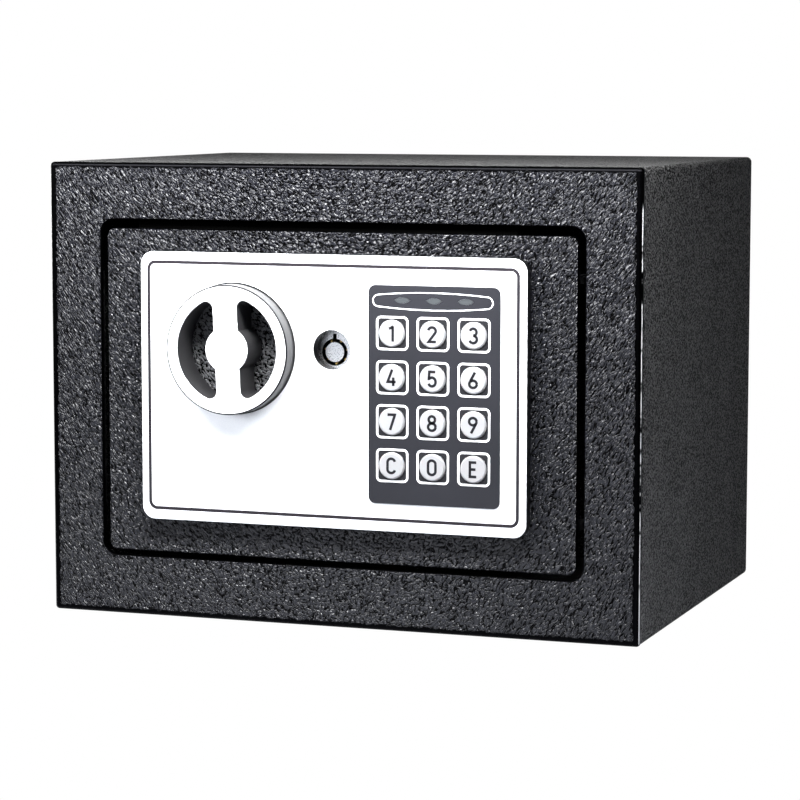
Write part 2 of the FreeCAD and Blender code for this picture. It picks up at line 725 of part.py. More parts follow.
def lock_plate():
    """The plate welded behind the door that carries the knob, the lock and the bolts."""
    plate = Plate("lock_plate")
    drawing = plate.sketch(lock_plate_back)
    left = S.cover_left + S.sheet + 0.6
    right = tray_left - 1.5
    draw_rounded(drawing, (left + right) / 2, S.door_middle, right - left, 104, 3)
    draw_circle(drawing, S.knob_x, S.knob_z, S.spindle_radius + 2)
    draw_circle(drawing, S.lock_x, S.lock_z, S.lock_barrel)
    for x, z in fascia_screw_spots[:2]:
        draw_circle(drawing, x, z, 3.5)
    plate.pad(drawing, S.lock_plate)


def fascia():
    """The bright front cover: a shallow tray with holes for the knob, lock and keys."""
    plate = Plate("fascia")
    inner_front = fascia_front + S.fascia_skin
    drawing = plate.sketch(front)
    width, height = S.fascia_width, S.fascia_height
    draw_rounded(drawing, S.fascia_x, S.fascia_z, width, height, S.fascia_corner)
    plate.pad(drawing, S.fascia_depth)
    plate.round_edges(lambda edge: edge.BoundBox.YMax < fascia_front.value + 0.01, 0.5)
    drawing = plate.sketch(inner_front)
    walls = 2 * S.fascia_skin
    inner_corner = S.fascia_corner - S.fascia_skin
    draw_rounded(drawing, S.fascia_x, S.fascia_z, width - walls, height - walls, inner_corner)
    plate.pocket(drawing, S.fascia_depth)
    drawing = plate.sketch(front)
    knob_hole = S.knob_radius + S.knob_play
    draw_circle(drawing, S.knob_x, S.knob_z, knob_hole + 1.4)
    draw_circle(drawing, S.lock_hole_x, S.lock_hole_z, S.lock_hole + 1.6)
    for x, z in fascia_screw_spots:
        draw_circle(drawing, x, z, S.fascia_post)
    plate.pad(drawing, S.fascia_depth - S.fascia_skin)
    drawing = plate.sketch(keypad_mat_front)
    for across in (-1, 1):
        for row in (0.5, 2.5):
            spot_x = S.key_middle_column + across * S.key_column / 2
            draw_circle(drawing, spot_x, S.key_top_row - row * S.key_row, 2)
    plate.pad(drawing, keypad_mat_front - inner_front)
    drawing = plate.sketch(fascia_front)
    draw_circle(drawing, S.knob_x, S.knob_z, knob_hole)
    draw_circle(drawing, S.lock_hole_x, S.lock_hole_z, S.lock_hole)
    for x, z in key_spots.values():
        draw_circle(drawing, x, z, S.key_radius + S.key_play + 0.1)
    plate.pocket(drawing, S.fascia_depth)
    drawing = plate.sketch(inner_front)
    for x, z in fascia_screw_spots:
        draw_circle(drawing, x, z, S.small_thread)
    plate.pocket(drawing, S.fascia_depth)


def fascia_screws():
    """Four screws from behind the door into the fascia's posts."""
    screws = []
    for number, spot in enumerate(fascia_screw_spots, start=1):
        steps = [
            (fascia_front + S.fascia_skin, door_back, S.small_thread),
            (door_back, door_back + 1.4, 2 * S.small_thread),
        ]
        screws.append(turned(f"fascia_screw{number}", spot, steps))
    group("fascia_screws", screws)


# ---------------------------------------------------------------- knob and crank


def draw_finger_gap(drawing, side):
    """One finger gap: outside the hub and the grip bar, inside the knob's rim."""
    rim, hub, grip = S.finger_radius.value, S.hub_radius.value, side * S.grip_half.value
    rim_z = math.sqrt(rim ** 2 - grip ** 2)
    hub_z = math.sqrt(hub ** 2 - grip ** 2)
    rim_turn = math.atan2(rim_z, abs(grip))
    hub_turn = math.atan2(hub_z, abs(grip))
    facing = 0 if side > 0 else math.pi
    flat = Vector(0, 0, 1)

    def arc(radius, turn):
        circle = Part.Circle(Vector(0, 0, 0), flat, radius)
        return drawing.addGeometry(Part.ArcOfCircle(circle, facing - turn, facing + turn))

    def grip_line(low, high):
        return drawing.addGeometry(Part.LineSegment(Vector(grip, low, 0), Vector(grip, high, 0)))

    rim_arc = arc(rim, rim_turn)
    hub_arc = arc(hub, hub_turn)
    # An arc runs anticlockwise, so its ends swap between the right and the left gap.
    top, bottom = (2, 1) if side > 0 else (1, 2)
    upper = grip_line(hub_z, rim_z)
    lower = grip_line(-rim_z, -hub_z)
    joins = [
        (rim_arc, top, upper, 2),
        (hub_arc, top, upper, 1),
        (hub_arc, bottom, lower, 2),
        (rim_arc, bottom, lower, 1),
    ]
    for first, first_end, second, second_end in joins:
        drawing.addConstraint(
            Sketcher.Constraint("Coincident", first, first_end, second, second_end)
        )
    for line in (upper, lower):
        drawing.addConstraint(Sketcher.Constraint("Vertical", line))
        spot = drawing.addConstraint(Sketcher.Constraint("DistanceX", -1, 1, line, 1, grip))
        drawing.setExpression(f"Constraints[{spot}]", (side * S.grip_half).text)
    for curve, size in ((rim_arc, S.finger_radius), (hub_arc, S.hub_radius)):
        drawing.addConstraint(Sketcher.Constraint("Coincident", curve, 3, -1, 1))
        spot = drawing.addConstraint(Sketcher.Constraint("Radius", curve, size.value))
        drawing.setExpression(f"Constraints[{spot}]", size.text)


def knob():
    """The knob: a deep disc with two finger gaps that leave an upright grip bar and a hub."""
    plate = Plate("knob")
    drawing = plate.sketch(knob_back)
    draw_circle(drawing, 0, 0, S.knob_radius)
    plate.pad(drawing, knob_back - knob_front)
    drawing = plate.sketch(knob_front)
    for side in (-1, 1):
        draw_finger_gap(drawing, side)
    plate.pocket(drawing, knob_back - knob_front)
    rim_z = math.sqrt(S.finger_radius.value ** 2 - S.grip_half.value ** 2)

    def gap_corner(edge):
        limits = edge.BoundBox
        upright = limits.XLength < 0.01 and limits.ZLength < 0.01
        return upright and abs(abs(limits.ZMax) - rim_z) < 0.1

    plate.round_edges(gap_corner, S.finger_corner)
    drawing = plate.sketch(knob_back - S.spindle_grip)
    draw_circle(drawing, 0, 0, S.spindle_radius)
    plate.pocket(drawing, S.spindle_grip)
    plate.round_edges(lambda edge: edge.BoundBox.YMax < knob_front.value + 0.01, 0.35)
    place(plate.body, S.knob_x, 0, S.knob_z, Rotation(Vector(0, -1, 0), S.knob_tilt.value))


crank_turn = Rotation(Vector(0, 1, 0), S.crank_swing.value)


def knob_spindle():
    """The spindle behind the knob, with a square end and a tapped hole for the crank."""
    square = S.spindle_square / 2
    shaft = rod("spindle_shaft", "y", (0, 0), (knob_back - S.spindle_grip, crank_front), S.spindle_radius)
    end = box("spindle_end", (-square, square), (crank_front, crank_back), (-square, square))
    solid = fuse("spindle_solid", [shaft, end])
    hole = rod("spindle_hole", "y", (0, 0), (crank_back - 6, crank_back), 1.6)
    spindle = cut("knob_spindle", solid, [hole])
    place(spindle, S.knob_x, 0, S.knob_z, crank_turn)


def spindle_bush():
    """The flanged bush in the lock plate that the spindle turns in."""
    centre = (S.knob_x, S.knob_z)
    steps = [
        (door_back, lock_plate_back, S.spindle_radius + 2),
        (lock_plate_back, crank_front - S.run_gap, S.spindle_radius + 4),
    ]
    solid = turned("bush_solid", centre, steps)
    bore = rod("bush_bore", "y", centre, (door_back - 1, crank_front + 1),
               S.spindle_radius + S.spindle_play)
    cut("spindle_bush", solid, [bore])


def crank_arm():
    """The crank with its riveted pin, drawn upright and turned to the side at rest."""
    span = (crank_front, crank_back)
    hub = rod("crank_hub", "y", (0, 0), span, S.crank_hub)
    end = rod("crank_end", "y", (0, S.crank_arm), span, S.crank_eye)
    web = box("crank_web", (-S.crank_eye, S.crank_eye), span, (0, S.crank_arm))
    pin = rod("crank_rivet", "y", (0, S.crank_arm), (crank_front, carriage_back + 0.5),
              S.crank_pin)
    solid = fuse("crank_solid", [hub, end, web, pin])
    square = S.spindle_square / 2
    hole = box("crank_hole", (-square, square), (crank_front - 1, crank_back + 1),
               (-square, square))
    crank = cut("crank_arm", solid, [hole])
    place(crank, S.knob_x, 0, S.knob_z, crank_turn)


def crank_screw():
    """The screw that holds the crank on the spindle."""
    steps = [(crank_back - 6, crank_back, 1.6), (crank_back, crank_back + 1.4, 3.6)]
    turned("crank_screw", (S.knob_x, S.knob_z), steps)


# ---------------------------------------------------------------- bolts

carriage_left = S.bolt_tip + 29
carriage_flange = (carriage_left, carriage_left + S.carriage)
stud_x = carriage_left + 10
stud_heights = (S.door_middle - 35, S.door_middle + 39)


def bolt_carriage():
    """The sliding plate that ties the bolts together, with the crank's slot and the latch land."""
    plate = Plate("bolt_carriage")
    low = S.door_middle - 41
    top = S.door_middle + 45
    valley = S.plunger_tip - S.plunger_drop - 0.6
    land = S.plunger_tip - 0.6
    land_left = S.plunger_x + S.plunger_radius + 0.4
    land_right = S.plunger_x + S.bolt_throw - S.plunger_radius - 0.4
    ramp = 3
    waist = S.knob_x + 8.5
    shoulder = S.knob_x + 15.5
    outline = [
        (carriage_left, low),
        (land_right + 3, low),
        (land_right + 3, valley),
        (land_right, valley),
        (land_right, land),
        (land_left + ramp, land),
        (land_left, valley),
        (waist, valley),
        (waist, S.knob_z - 10),
        (shoulder, S.knob_z - 5),
        (shoulder, top),
        (carriage_left, top),
    ]
    drawing = plate.sketch(carriage_back)
    draw_polygon(drawing, outline)
    swing = math.radians(S.crank_swing.value)
    pin_x = S.knob_x + S.crank_arm * math.sin(swing)
    pin_low = S.knob_z + S.crank_arm * math.cos(swing)
    pin_high = S.knob_z + S.crank_arm
    slot_width = 2 * S.crank_pin + 2 * S.slot_play
    slot_height = pin_high - pin_low + slot_width + 0.8
    slot_radius = S.crank_pin + S.slot_play - 0.1
    draw_rounded(drawing, pin_x, (pin_low + pin_high) / 2, slot_width, slot_height, slot_radius)
    for height in stud_heights:
        middle = stud_x + S.bolt_throw / 2
        slot_length = S.bolt_throw + 2 * S.run_gap
        draw_slot(drawing, middle, height, slot_length, S.stud_radius + S.run_gap)
    for height in bolt_heights.values():
        draw_rounded(drawing, carriage_flange[1] + 1.6, height, 3.2, 9, 0.5)
    plate.pad(drawing, S.carriage)
    flange_back = bolt_y + S.bolt_radius - 0.5
    drawing = plate.sketch(flange_back)
    flange_low = bolt_heights["lower"] - 9
    flange_top = bolt_heights["upper"] + 9
    draw_polygon(drawing, [
        (carriage_flange[0], flange_low),
        (carriage_flange[1], flange_low),
        (carriage_flange[1], flange_top),
        (carriage_flange[0], flange_top),
    ])
    plate.pad(drawing, flange_back - carriage_front)
    drawing = plate.sketch(carriage_flange[1], "YZ_Plane")
    for height in bolt_heights.values():
        draw_circle(drawing, bolt_y, height, S.bolt_screw)
    plate.pocket(drawing, S.carriage)


def bolt(name, height):
    """A round bolt with a chamfered end and a tapped hole towards the carriage."""
    centre = (bolt_y, height)
    bar = rod(name + "_bar", "x", centre, (S.bolt_tip, carriage_left), S.bolt_radius)
    document.recompute()
    tip = document.addObject("Part::Chamfer", name + "_tip")
    tip.Base = bar
    end = [n for n, edge in enumerate(bar.Shape.Edges, start=1)
           if edge.BoundBox.XMax < S.bolt_tip.value + 0.01]
    tip.Edges = [(number, 1.2, 1.2) for number in end]
    hole = rod(name + "_hole", "x", centre, (carriage_left - S.bolt_thread, carriage_left),
               S.bolt_screw)
    cut(name, tip, [hole])


def bolt_screws():
    """The screws that hold the bolts on the carriage's flange."""
    screws = []
    for place_name, height in bolt_heights.items():
        steps = [
            (carriage_left - S.bolt_thread, carriage_flange[1], S.bolt_screw),
            (carriage_flange[1], carriage_flange[1] + 2.4, 4),
        ]
        screws.append(turned(f"bolt_screw_{place_name}", (bolt_y, height), steps, axis="x"))
    group("bolt_screws", screws)


def bolt_guide():
    """The angle on the lock plate that both bolts slide through."""
    left = S.cover_left + S.sheet + 0.6
    wall_right = left + 2
    height = (S.door_middle - 41, S.door_middle + 41)
    wall = box("guide_wall", (left, wall_right), (lock_plate_back, bolt_y + 9.5), height)
    flange = box("guide_flange", (left, left + 11), (lock_plate_back, lock_plate_back + S.sheet),
                 height)
    solid = fuse("guide_solid", [wall, flange])
    holes = [
        rod(f"guide_hole_{name}", "x", (bolt_y, level), (left - 1, wall_right + 1),
            S.bolt_radius + S.bolt_play)
        for name, level in bolt_heights.items()
    ]
    cut("bolt_guide", solid, holes)


def guide_studs():
    """Two headed studs on the lock plate that the carriage's slots run on."""
    studs = []
    for number, height in enumerate(stud_heights, start=1):
        head_front = carriage_back + S.run_gap
        steps = [
            (lock_plate_back, carriage_front - S.run_gap, S.stud_radius + 1.1),
            (lock_plate_back, head_front, S.stud_radius),
            (head_front, head_front + 1.2, S.stud_radius + 1.7),
        ]
        studs.append(turned(f"guide_stud{number}", (stud_x, height), steps))
    group("guide_studs", studs)


# ---------------------------------------------------------------- solenoid latch

coil_low = S.plunger_tip + 9.5
coil_high = coil_low + S.coil_height
plunger_y = (carriage_front + carriage_back) / 2
collar_low = S.plunger_tip + 4
collar_high = collar_low + 1


def solenoid_frame():
    """The iron frame around the coil, fixed to the lock plate."""
    half = S.coil_width / 2
    sides = (S.plunger_x - half, S.plunger_x + half)
    back = plunger_y + 6.2
    outer = box("solenoid_outer", sides, (lock_plate_back, back), (coil_low, coil_high))
    inner = box("solenoid_inner", (sides[0] - 1, sides[1] + 1),
                (lock_plate_back + S.sheet, back + 1),
                (coil_low + S.coil_plate, coil_high - S.coil_plate))
    hole = rod("solenoid_way", "z", (S.plunger_x, plunger_y), (coil_low - 1, coil_low + 2),
               S.plunger_radius + S.coil_play)
    cut("solenoid_frame", outer, [inner, hole])


def solenoid_coil():
    """The coil on its bobbin."""
    centre = (S.plunger_x, plunger_y)
    low, high = coil_low + S.coil_plate, coil_high - S.coil_plate
    steps = [(low, low + 1.2, 4.9), (low + 1.2, high - 1.2, 4.4), (high - 1.2, high, 4.9)]
    solid = turned("coil_solid", centre, steps, axis="z")
    bore = rod("coil_bore", "z", centre, (low - 1, high - 1.2), S.plunger_radius + S.coil_play)
    cut("solenoid_coil", solid, [bore])


def solenoid_plunger():
    """The plunger that drops beside the carriage's land, with a collar for its spring."""
    steps = [
        (S.plunger_tip, coil_high - 4, S.plunger_radius),
        (collar_low, collar_high, S.plunger_radius + 1.6),
    ]
    turned("solenoid_plunger", (S.plunger_x, plunger_y), steps, axis="z")


def plunger_spring():
    """The coil spring between the collar and the solenoid frame."""
    wire = 0.3
    turns = 4
    coil_radius = S.plunger_radius.value + 0.9
    low = collar_high.value + wire
    height = coil_low.value - wire - low
    helix = Part.makeHelix(height / turns, height, coil_radius)
    section = Part.Wire([Part.makeCircle(wire, Vector(coil_radius, 0, 0), Vector(0, 1, 0))])
    spring = document.addObject("Part::Feature", "plunger_spring")
    spring.Shape = Part.Wire(helix.Edges).makePipeShell([section], True, True)
    place(spring, S.plunger_x, plunger_y, low)


# ---------------------------------------------------------------- emergency lock

lock_centre = (S.lock_x, S.lock_z)
lock_back = door_back + S.lock_length


def lock_barrel():
    """The fixed barrel of the tubular lock, with the notch for the key's lug."""
    steps = [(lock_face, door_back, S.lock_flange), (door_back, lock_back, S.lock_barrel)]
    solid = turned("barrel_solid", lock_centre, steps)
    bore = rod("barrel_bore", "y", lock_centre, (lock_face - 1, lock_back + 1), S.keyway)
    notch = box("barrel_notch", (S.lock_x - 0.7, S.lock_x + 0.7), (lock_face - 1, lock_face + 4),
                (S.lock_z, S.lock_z + S.keyway + 1.75))
    cut("lock_barrel", solid, [bore, notch])


def lock_nut():
    """The hexagon nut that clamps the barrel behind the lock plate."""
    nut = document.addObject("Part::Prism", "nut_solid")
    nut.Polygon = 6
    bind(nut, "Circumradius", S.lock_barrel + 4)
    bind(nut, "Height", 3.5)
    place(nut, S.lock_x, lock_plate_back, S.lock_z, AXIS_TURNS["y"])
    bore = rod("nut_bore", "y", lock_centre, (lock_plate_back - 1, lock_plate_back + 5),
               S.lock_barrel)
    cut("lock_nut", nut, [bore])


def lock_plug():
    """The turning part of the lock: the keyway's post, the pin chamber and the cam's tail."""
    chamber = lock_face + 6
    steps = [
        (lock_face, chamber, S.keyway_post),
        (chamber, lock_back, S.keyway - S.spindle_play),
        (lock_back, lock_back + 3.6, 2.8),
    ]
    turned("lock_plug", lock_centre, steps)


def lock_cam():
    """The cam behind the barrel, which a key turns through a quarter."""
    span = (lock_back + S.run_gap, lock_back + S.run_gap + 1.6)
    hub = rod("cam_hub", "y", lock_centre, span, 5.5)
    arm = box("cam_arm", (S.lock_x, S.lock_x + 11), span, (S.lock_z - 3, S.lock_z + 3))
    end = rod("cam_end", "y", (S.lock_x + 11, S.lock_z), span, 3)
    solid = fuse("cam_solid", [hub, arm, end])
    hole = rod("cam_hole", "y", lock_centre, (span[0] - 1, span[1] + 1), 2.8)
    cut("lock_cam", solid, [hole])


# ---------------------------------------------------------------- keypad

KEY_ROWS = [("1", "2", "3"), ("4", "5", "6"), ("7", "8", "9"), ("clear", "0", "enter")]
key_spots = {
    f"key_{name}": (S.key_middle_column + (column - 1) * S.key_column, S.key_top_row - row * S.key_row)
    for row, names in enumerate(KEY_ROWS)
    for column, name in enumerate(names)
}
light_spots = [S.keypad_x + step * S.light_pitch for step in (-1, 0, 1)]


def keypad_panel():
    """The dark panel around the keys, with windows for the indicator lights."""
    plate = Plate("keypad_panel")
    drawing = plate.sketch(fascia_front)
    width, height = S.keypad_width, S.keypad_height
    draw_rounded(drawing, S.keypad_x, S.keypad_z, width, height, S.keypad_corner)
    for x, z in key_spots.values():
        draw_circle(drawing, x, z, S.key_radius + S.key_play)
    for x in light_spots:
        draw_oval(drawing, x, S.light_height, S.light_length, S.light_rise)
    plate.pad(drawing, S.panel_thickness)


def light_lenses():
    """Three oval lenses in the panel's windows."""
    lenses = []
    for number, x in enumerate(light_spots, start=1):
        lens = Plate(f"light_lens{number}")
        drawing = lens.sketch(fascia_front)
        length = S.light_length - 3 * S.light_play
        height = S.light_rise - S.light_play
        draw_oval(drawing, x, S.light_height, length, height)
        lens.pad(drawing, S.panel_thickness - 0.05)
        lenses.append(lens.body)
    group("light_lenses", lenses)


def key(name, x, z):
    """A round key with a bevelled cap and a retaining flange behind the fascia's skin."""
    plate = Plate(name)
    cap_front = panel_front - S.key_stand
    flange_radius = S.key_radius + S.key_flange
    drawing = plate.sketch(0, "XY_Plane")
    draw_polygon(drawing, [
        (0, cap_front),
        (S.key_radius - S.key_bevel, cap_front),
        (S.key_radius, cap_front + S.key_bevel),
        (S.key_radius, key_flange_front),
        (flange_radius, key_flange_front),
        (flange_radius, key_flange_back),
        (0, key_flange_back),
    ])
    feature = plate.body.newObject("PartDesign::Revolution", name + "_turn")
    feature.Profile = drawing
    feature.ReferenceAxis = (drawing, ["V_Axis"])
    feature.Angle = 360
    place(plate.body, x, 0, z)


def keypad_layer(name, layer_front, layer_back):
    """A sheet behind the keys: the rubber mat or the contact board."""
    plate = Plate(name)
    drawing = plate.sketch(layer_back)
    draw_rounded(drawing, S.keypad_x, S.keypad_z, S.layer_width, S.layer_height, 2)
    plate.pad(drawing, layer_back - layer_front)


# ---------------------------------------------------------------- inner cover and its contents

tray_right = S.cover_right - 1.5
tray_low = cover_bottom + 12
tray_high = tray_low + 8 * S.cell_radius + 3
cover_inside = cover_back - S.sheet
tray_front = cover_inside - S.tray_depth
board_front = lock_plate_back + 0.9
board_back = board_front + S.board_thickness
reset_spot = (S.cover_right - 24, cover_top - 21)
battery_window = (tray_left + S.window_edge, tray_right - S.window_edge)
battery_window_z = (tray_low + S.window_edge, tray_high - S.window_edge)


def draw_block(drawing, x, z, radius):
    """A rounded rectangle between two places on each axis."""
    width, height = x[1] - x[0], z[1] - z[0]
    draw_rounded(drawing, (x[0] + x[1]) / 2, (z[0] + z[1]) / 2, width, height, radius)


def inner_cover():
    """The box over the mechanism, with holes for the bolts, the reset button and the cells."""
    plate = Plate("inner_cover")
    drawing = plate.sketch(cover_back)
    draw_block(drawing, (S.cover_left, S.cover_right), (cover_bottom, cover_top), 3)
    plate.pad(drawing, S.cover_depth)
    plate.round_edges(lambda edge: edge.BoundBox.YMin > cover_back.value - 0.01, 2.5)
    drawing = plate.sketch(door_back)
    inside_x = (S.cover_left + S.sheet, S.cover_right - S.sheet)
    inside_z = (cover_bottom + S.sheet, cover_top - S.sheet)
    draw_block(drawing, inside_x, inside_z, 2)
    plate.pocket(drawing, S.cover_depth - S.sheet)
    drawing = plate.sketch(cover_inside)
    draw_block(drawing, battery_window, battery_window_z, 0.5)
    draw_circle(drawing, reset_spot[0], reset_spot[1], 3.4)
    for x, z in cover_screw_spots:
        draw_circle(drawing, x, z, S.small_thread + 0.2)
    plate.pocket(drawing, 2 * S.sheet)
    drawing = plate.sketch(S.cover_left + S.sheet, "YZ_Plane")
    for height in bolt_heights.values():
        draw_circle(drawing, bolt_y, height, S.bolt_radius + S.slot_play)
    plate.pocket(drawing, 2 * S.sheet)


def cover_posts():
    """The posts behind the door that the inner cover is screwed to."""
    posts = []
    for number, spot in enumerate(cover_screw_spots, start=1):
        base = lock_plate_back if number <= 2 else door_back
        post = rod(f"post_bar{number}", "y", spot, (base, cover_inside), S.post_radius)
        hole = rod(f"post_hole{number}", "y", spot, (cover_inside - 8, cover_inside),
                   S.small_thread)
        posts.append(cut(f"cover_post{number}", post, [hole]))
    group("cover_posts", posts)


def cover_screws():
    """Four screws through the inner cover into its posts."""
    screws = []
    for number, spot in enumerate(cover_screw_spots, start=1):
        steps = [
            (cover_inside - 8, cover_back, S.small_thread),
            (cover_back, cover_back + 1.6, 3.2),
        ]
        screws.append(turned(f"cover_screw{number}", spot, steps))
    group("cover_screws", screws)


def control_board():
    """The circuit board with its chips, buzzer, plug and reset switch.

    Its upper spacers stand on the door and its lower ones on the keypad board.
    """
    left, right = S.cover_right - 52, S.cover_right - 11
    low, high = tray_high + 2.5, cover_top - 5
    x_reset, z_reset = reset_spot
    parts = [box("board_sheet", (left, right), (board_front, board_back), (low, high))]
    for number, x in enumerate((left + 3, right - 3), start=1):
        parts.append(rod(f"board_spacer_high{number}", "y", (x, high - 3),
                         (door_back, board_front), 1.8))
        parts.append(rod(f"board_spacer_low{number}", "y", (x, low + 3),
                         (keypad_board_back, board_front), 1.8))
    parts.append(box("board_chip", (left + 7, left + 17), (board_back, board_back + 1.6),
                     (low + 8, low + 18)))
    parts.append(rod("board_buzzer", "y", (left + 12, high - 7), (board_back, board_back + 7), 5))
    parts.append(box("board_plug", (right - 9, right - 2), (board_back, board_back + 6),
                     (low + 4, low + 12)))
    parts.append(box("switch_case", (x_reset - 3, x_reset + 3), (board_back, board_back + 3.5),
                     (z_reset - 3, z_reset + 3)))
    parts.append(rod("switch_stem", "y", reset_spot, (board_back + 3.5, board_back + 6), 1.7))
    fuse("control_board", parts)


def reset_button():
    """The code-setting button inside the door, which presses the board's switch."""
    button_front = board_back + 7.6
    steps = [
        (button_front, cover_inside - S.run_gap - 0.8, 2),
        (cover_inside - S.run_gap - 0.8, cover_inside - S.run_gap, 4.6),
        (cover_inside - S.run_gap, cover_back + 2.2, 3),
    ]
    turned("reset_button", reset_spot, steps)


def battery_tray():
    """The open tray behind the inner cover's window that holds the cells."""
    plate = Plate("battery_tray")
    drawing = plate.sketch(cover_inside)
    draw_block(drawing, (tray_left, tray_right), (tray_low, tray_high), 1.5)
    plate.pad(drawing, cover_inside - tray_front)
    drawing = plate.sketch(tray_front + S.sheet)
    inside_x = (tray_left + S.sheet, tray_right - S.sheet)
    inside_z = (tray_low + S.sheet, tray_high - S.sheet)
    draw_block(drawing, inside_x, inside_z, 1)
    plate.pocket(drawing, cover_inside - tray_front)


def cell_rows():
    """The height of each cell and the side its raised end faces."""
    first = tray_low + 1.5 + S.cell_radius
    return [(first + row * 2 * S.cell_radius, 1 if row % 2 == 0 else -1) for row in range(4)]


cell_y = tray_front + S.sheet + 0.3 + S.cell_radius
cell_left = (tray_left + tray_right - S.cell_length) / 2


def battery_cells():
    """Four AA cells, each the other way round from its neighbour."""
    cells = []
    nub = 1
    for number, (height, side) in enumerate(cell_rows(), start=1):
        cell_right = cell_left + S.cell_length
        case = (cell_left, cell_right - nub) if side > 0 else (cell_left + nub, cell_right)
        centre = (cell_y, height)
        shown = S.cell_radius - 0.15
        steps = [(case[0], case[1], shown), (cell_left, cell_right, 2.6)]
        cells.append(turned(f"battery_cell{number}", centre, steps, axis="x"))
    group("battery_cells", cells)


def battery_contacts():
    """A flat contact at each raised end and a conical one at each flat end."""
    contacts = []
    inside = (tray_left + S.sheet, tray_right - S.sheet)
    cell_right = cell_left + S.cell_length
    sheet_metal = 0.4
    for number, (height, side) in enumerate(cell_rows(), start=1):
        square = (height - 4.5, height + 4.5)
        depth = (cell_y - 4.5, cell_y + 4.5)
        left_plate = box(f"contact_left{number}", (inside[0], inside[0] + sheet_metal),
                         depth, square)
        right_plate = box(f"contact_right{number}", (inside[1] - sheet_metal, inside[1]),
                          depth, square)
        left_gap = (inside[0] + sheet_metal, cell_left)
        right_gap = (cell_right, inside[1] - sheet_metal)
        wide, narrow = (3.6, 2.4)
        left_spring = turned_cone(f"contact_spring_left{number}", (cell_y, height), left_gap,
                                  (wide, narrow) if side > 0 else (2, 2.2))
        right_spring = turned_cone(f"contact_spring_right{number}", (cell_y, height), right_gap,
                                   (narrow, wide) if side < 0 else (2.2, 2))
        contacts.append(fuse(f"contact_pair_left{number}", [left_plate, left_spring]))
        contacts.append(fuse(f"contact_pair_right{number}", [right_plate, right_spring]))
    group("battery_contacts", contacts)


def turned_cone(name, centre, span, radii):
    """A cone along X between two places."""
    cone = document.addObject("Part::Cone", name)
    bind(cone, "Radius1", radii[0])
    bind(cone, "Radius2", radii[1])
    bind(cone, "Height", as_size(span[1]) - span[0])
    place(cone, span[0], centre[0], centre[1], AXIS_TURNS["x"])
    return cone


def battery_cover():
    """The lid that snaps over the cells, with a lip inside the window and a finger rib."""
    lid = box("lid_plate", (tray_left + 1, tray_right - 1), (cover_back, cover_back + 1.8),
              (tray_low + 1, tray_high - 1))
    lip_x = (battery_window[0] + 0.4, battery_window[1] - 0.4)
    lip_z = (battery_window_z[0] + 0.4, battery_window_z[1] - 0.4)
    lip = box("lid_lip", lip_x, (cover_inside, cover_back), lip_z)
    hollow = box("lid_hollow", (lip_x[0] + 1.2, lip_x[1] - 1.2), (cover_inside - 1, cover_back),
                 (lip_z[0] + 1.2, lip_z[1] - 1.2))
    ring = cut("lid_ring", lip, [hollow])
    middle = (tray_left + tray_right) / 2
    ribs = [
        box(f"lid_rib{row}", (middle - 10, middle + 10), (cover_back + 1.8, cover_back + 2.4),
            (tray_high - 8 - 2.5 * row, tray_high - 7 - 2.5 * row))
        for row in range(3)
    ]
    fuse("battery_cover", [lid, ring] + ribs)


# ---------------------------------------------------------------- the whole safe


def build():
    """Makes every sub-part and returns their names."""
    front_frame()
    body_wrap()
    back_panel()
    floor_mat()
    strike_bar()
    names = ["front_frame", "body_wrap", "back_panel", "floor_mat", "strike_bar"]
    for level, side in (("upper", 1), ("lower", -1)):
        door_stop(f"door_stop_{level}", side)
        hinge_bracket(f"hinge_bracket_{level}", side)
        hinge_arm(f"hinge_arm_{level}", side)
        bolt(f"bolt_{level}", bolt_heights[level])
        names += [f"{piece}_{level}" for piece in ("door_stop", "hinge_bracket", "hinge_arm", "bolt")]
    for piece in (hinge_rod, door_plate, lock_plate, fascia, fascia_screws,
                  knob, knob_spindle, spindle_bush, crank_arm, crank_screw,
                  bolt_carriage, bolt_screws, bolt_guide, guide_studs,
                  solenoid_frame, solenoid_coil, solenoid_plunger, plunger_spring,
                  lock_barrel, lock_nut, lock_plug, lock_cam, keypad_panel, light_lenses,
                  inner_cover, cover_posts, cover_screws, control_board, reset_button,
                  battery_tray, battery_cells, battery_contacts, battery_cover):
        piece()
        names.append(piece.__name__)
    for name, (x, z) in key_spots.items():
        key(name, x, z)
        names.append(name)
    keypad_layer("keypad_board", keypad_board_front, keypad_board_back)
    keypad_layer("keypad_mat", keypad_mat_front, keypad_board_front)
    return names + ["keypad_board", "keypad_mat"]


def check(names):
    """Stops if any object failed or any sub-part isn't a sound solid."""
    for thing in document.Objects:
        if "Invalid" in thing.State or "Error" in thing.State:
            raise RuntimeError(f"{thing.Name} failed: {thing.State}")
    for name in names:
        shape = document.getObject(name).Shape
        if shape.isNull() or not shape.isValid() or not shape.Solids:
            raise RuntimeError(f"{name} isn't a valid solid")


names = build()
document.recompute()
check(names)
os.makedirs("parts", exist_ok=True)
for name in names:
    part = document.getObject(name)
    part.Label = name
    part.Shape.exportStep(os.path.join("parts", name + ".step"))
print(len(names), "sub-parts written")
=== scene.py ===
import json
import math

import bmesh
import bpy
from mathutils import Matrix, Vector


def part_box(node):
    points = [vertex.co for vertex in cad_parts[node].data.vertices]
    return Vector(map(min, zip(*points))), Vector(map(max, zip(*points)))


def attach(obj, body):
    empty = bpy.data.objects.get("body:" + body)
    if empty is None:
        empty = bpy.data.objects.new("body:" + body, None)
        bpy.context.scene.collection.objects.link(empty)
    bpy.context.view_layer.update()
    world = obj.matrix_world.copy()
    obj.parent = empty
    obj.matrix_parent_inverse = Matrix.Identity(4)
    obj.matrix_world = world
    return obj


# The looks of a small digital safe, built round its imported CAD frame. Lengths are in metres in
# the row frame: +X to the right of someone who faces the door, +Y to the back and +Z up.

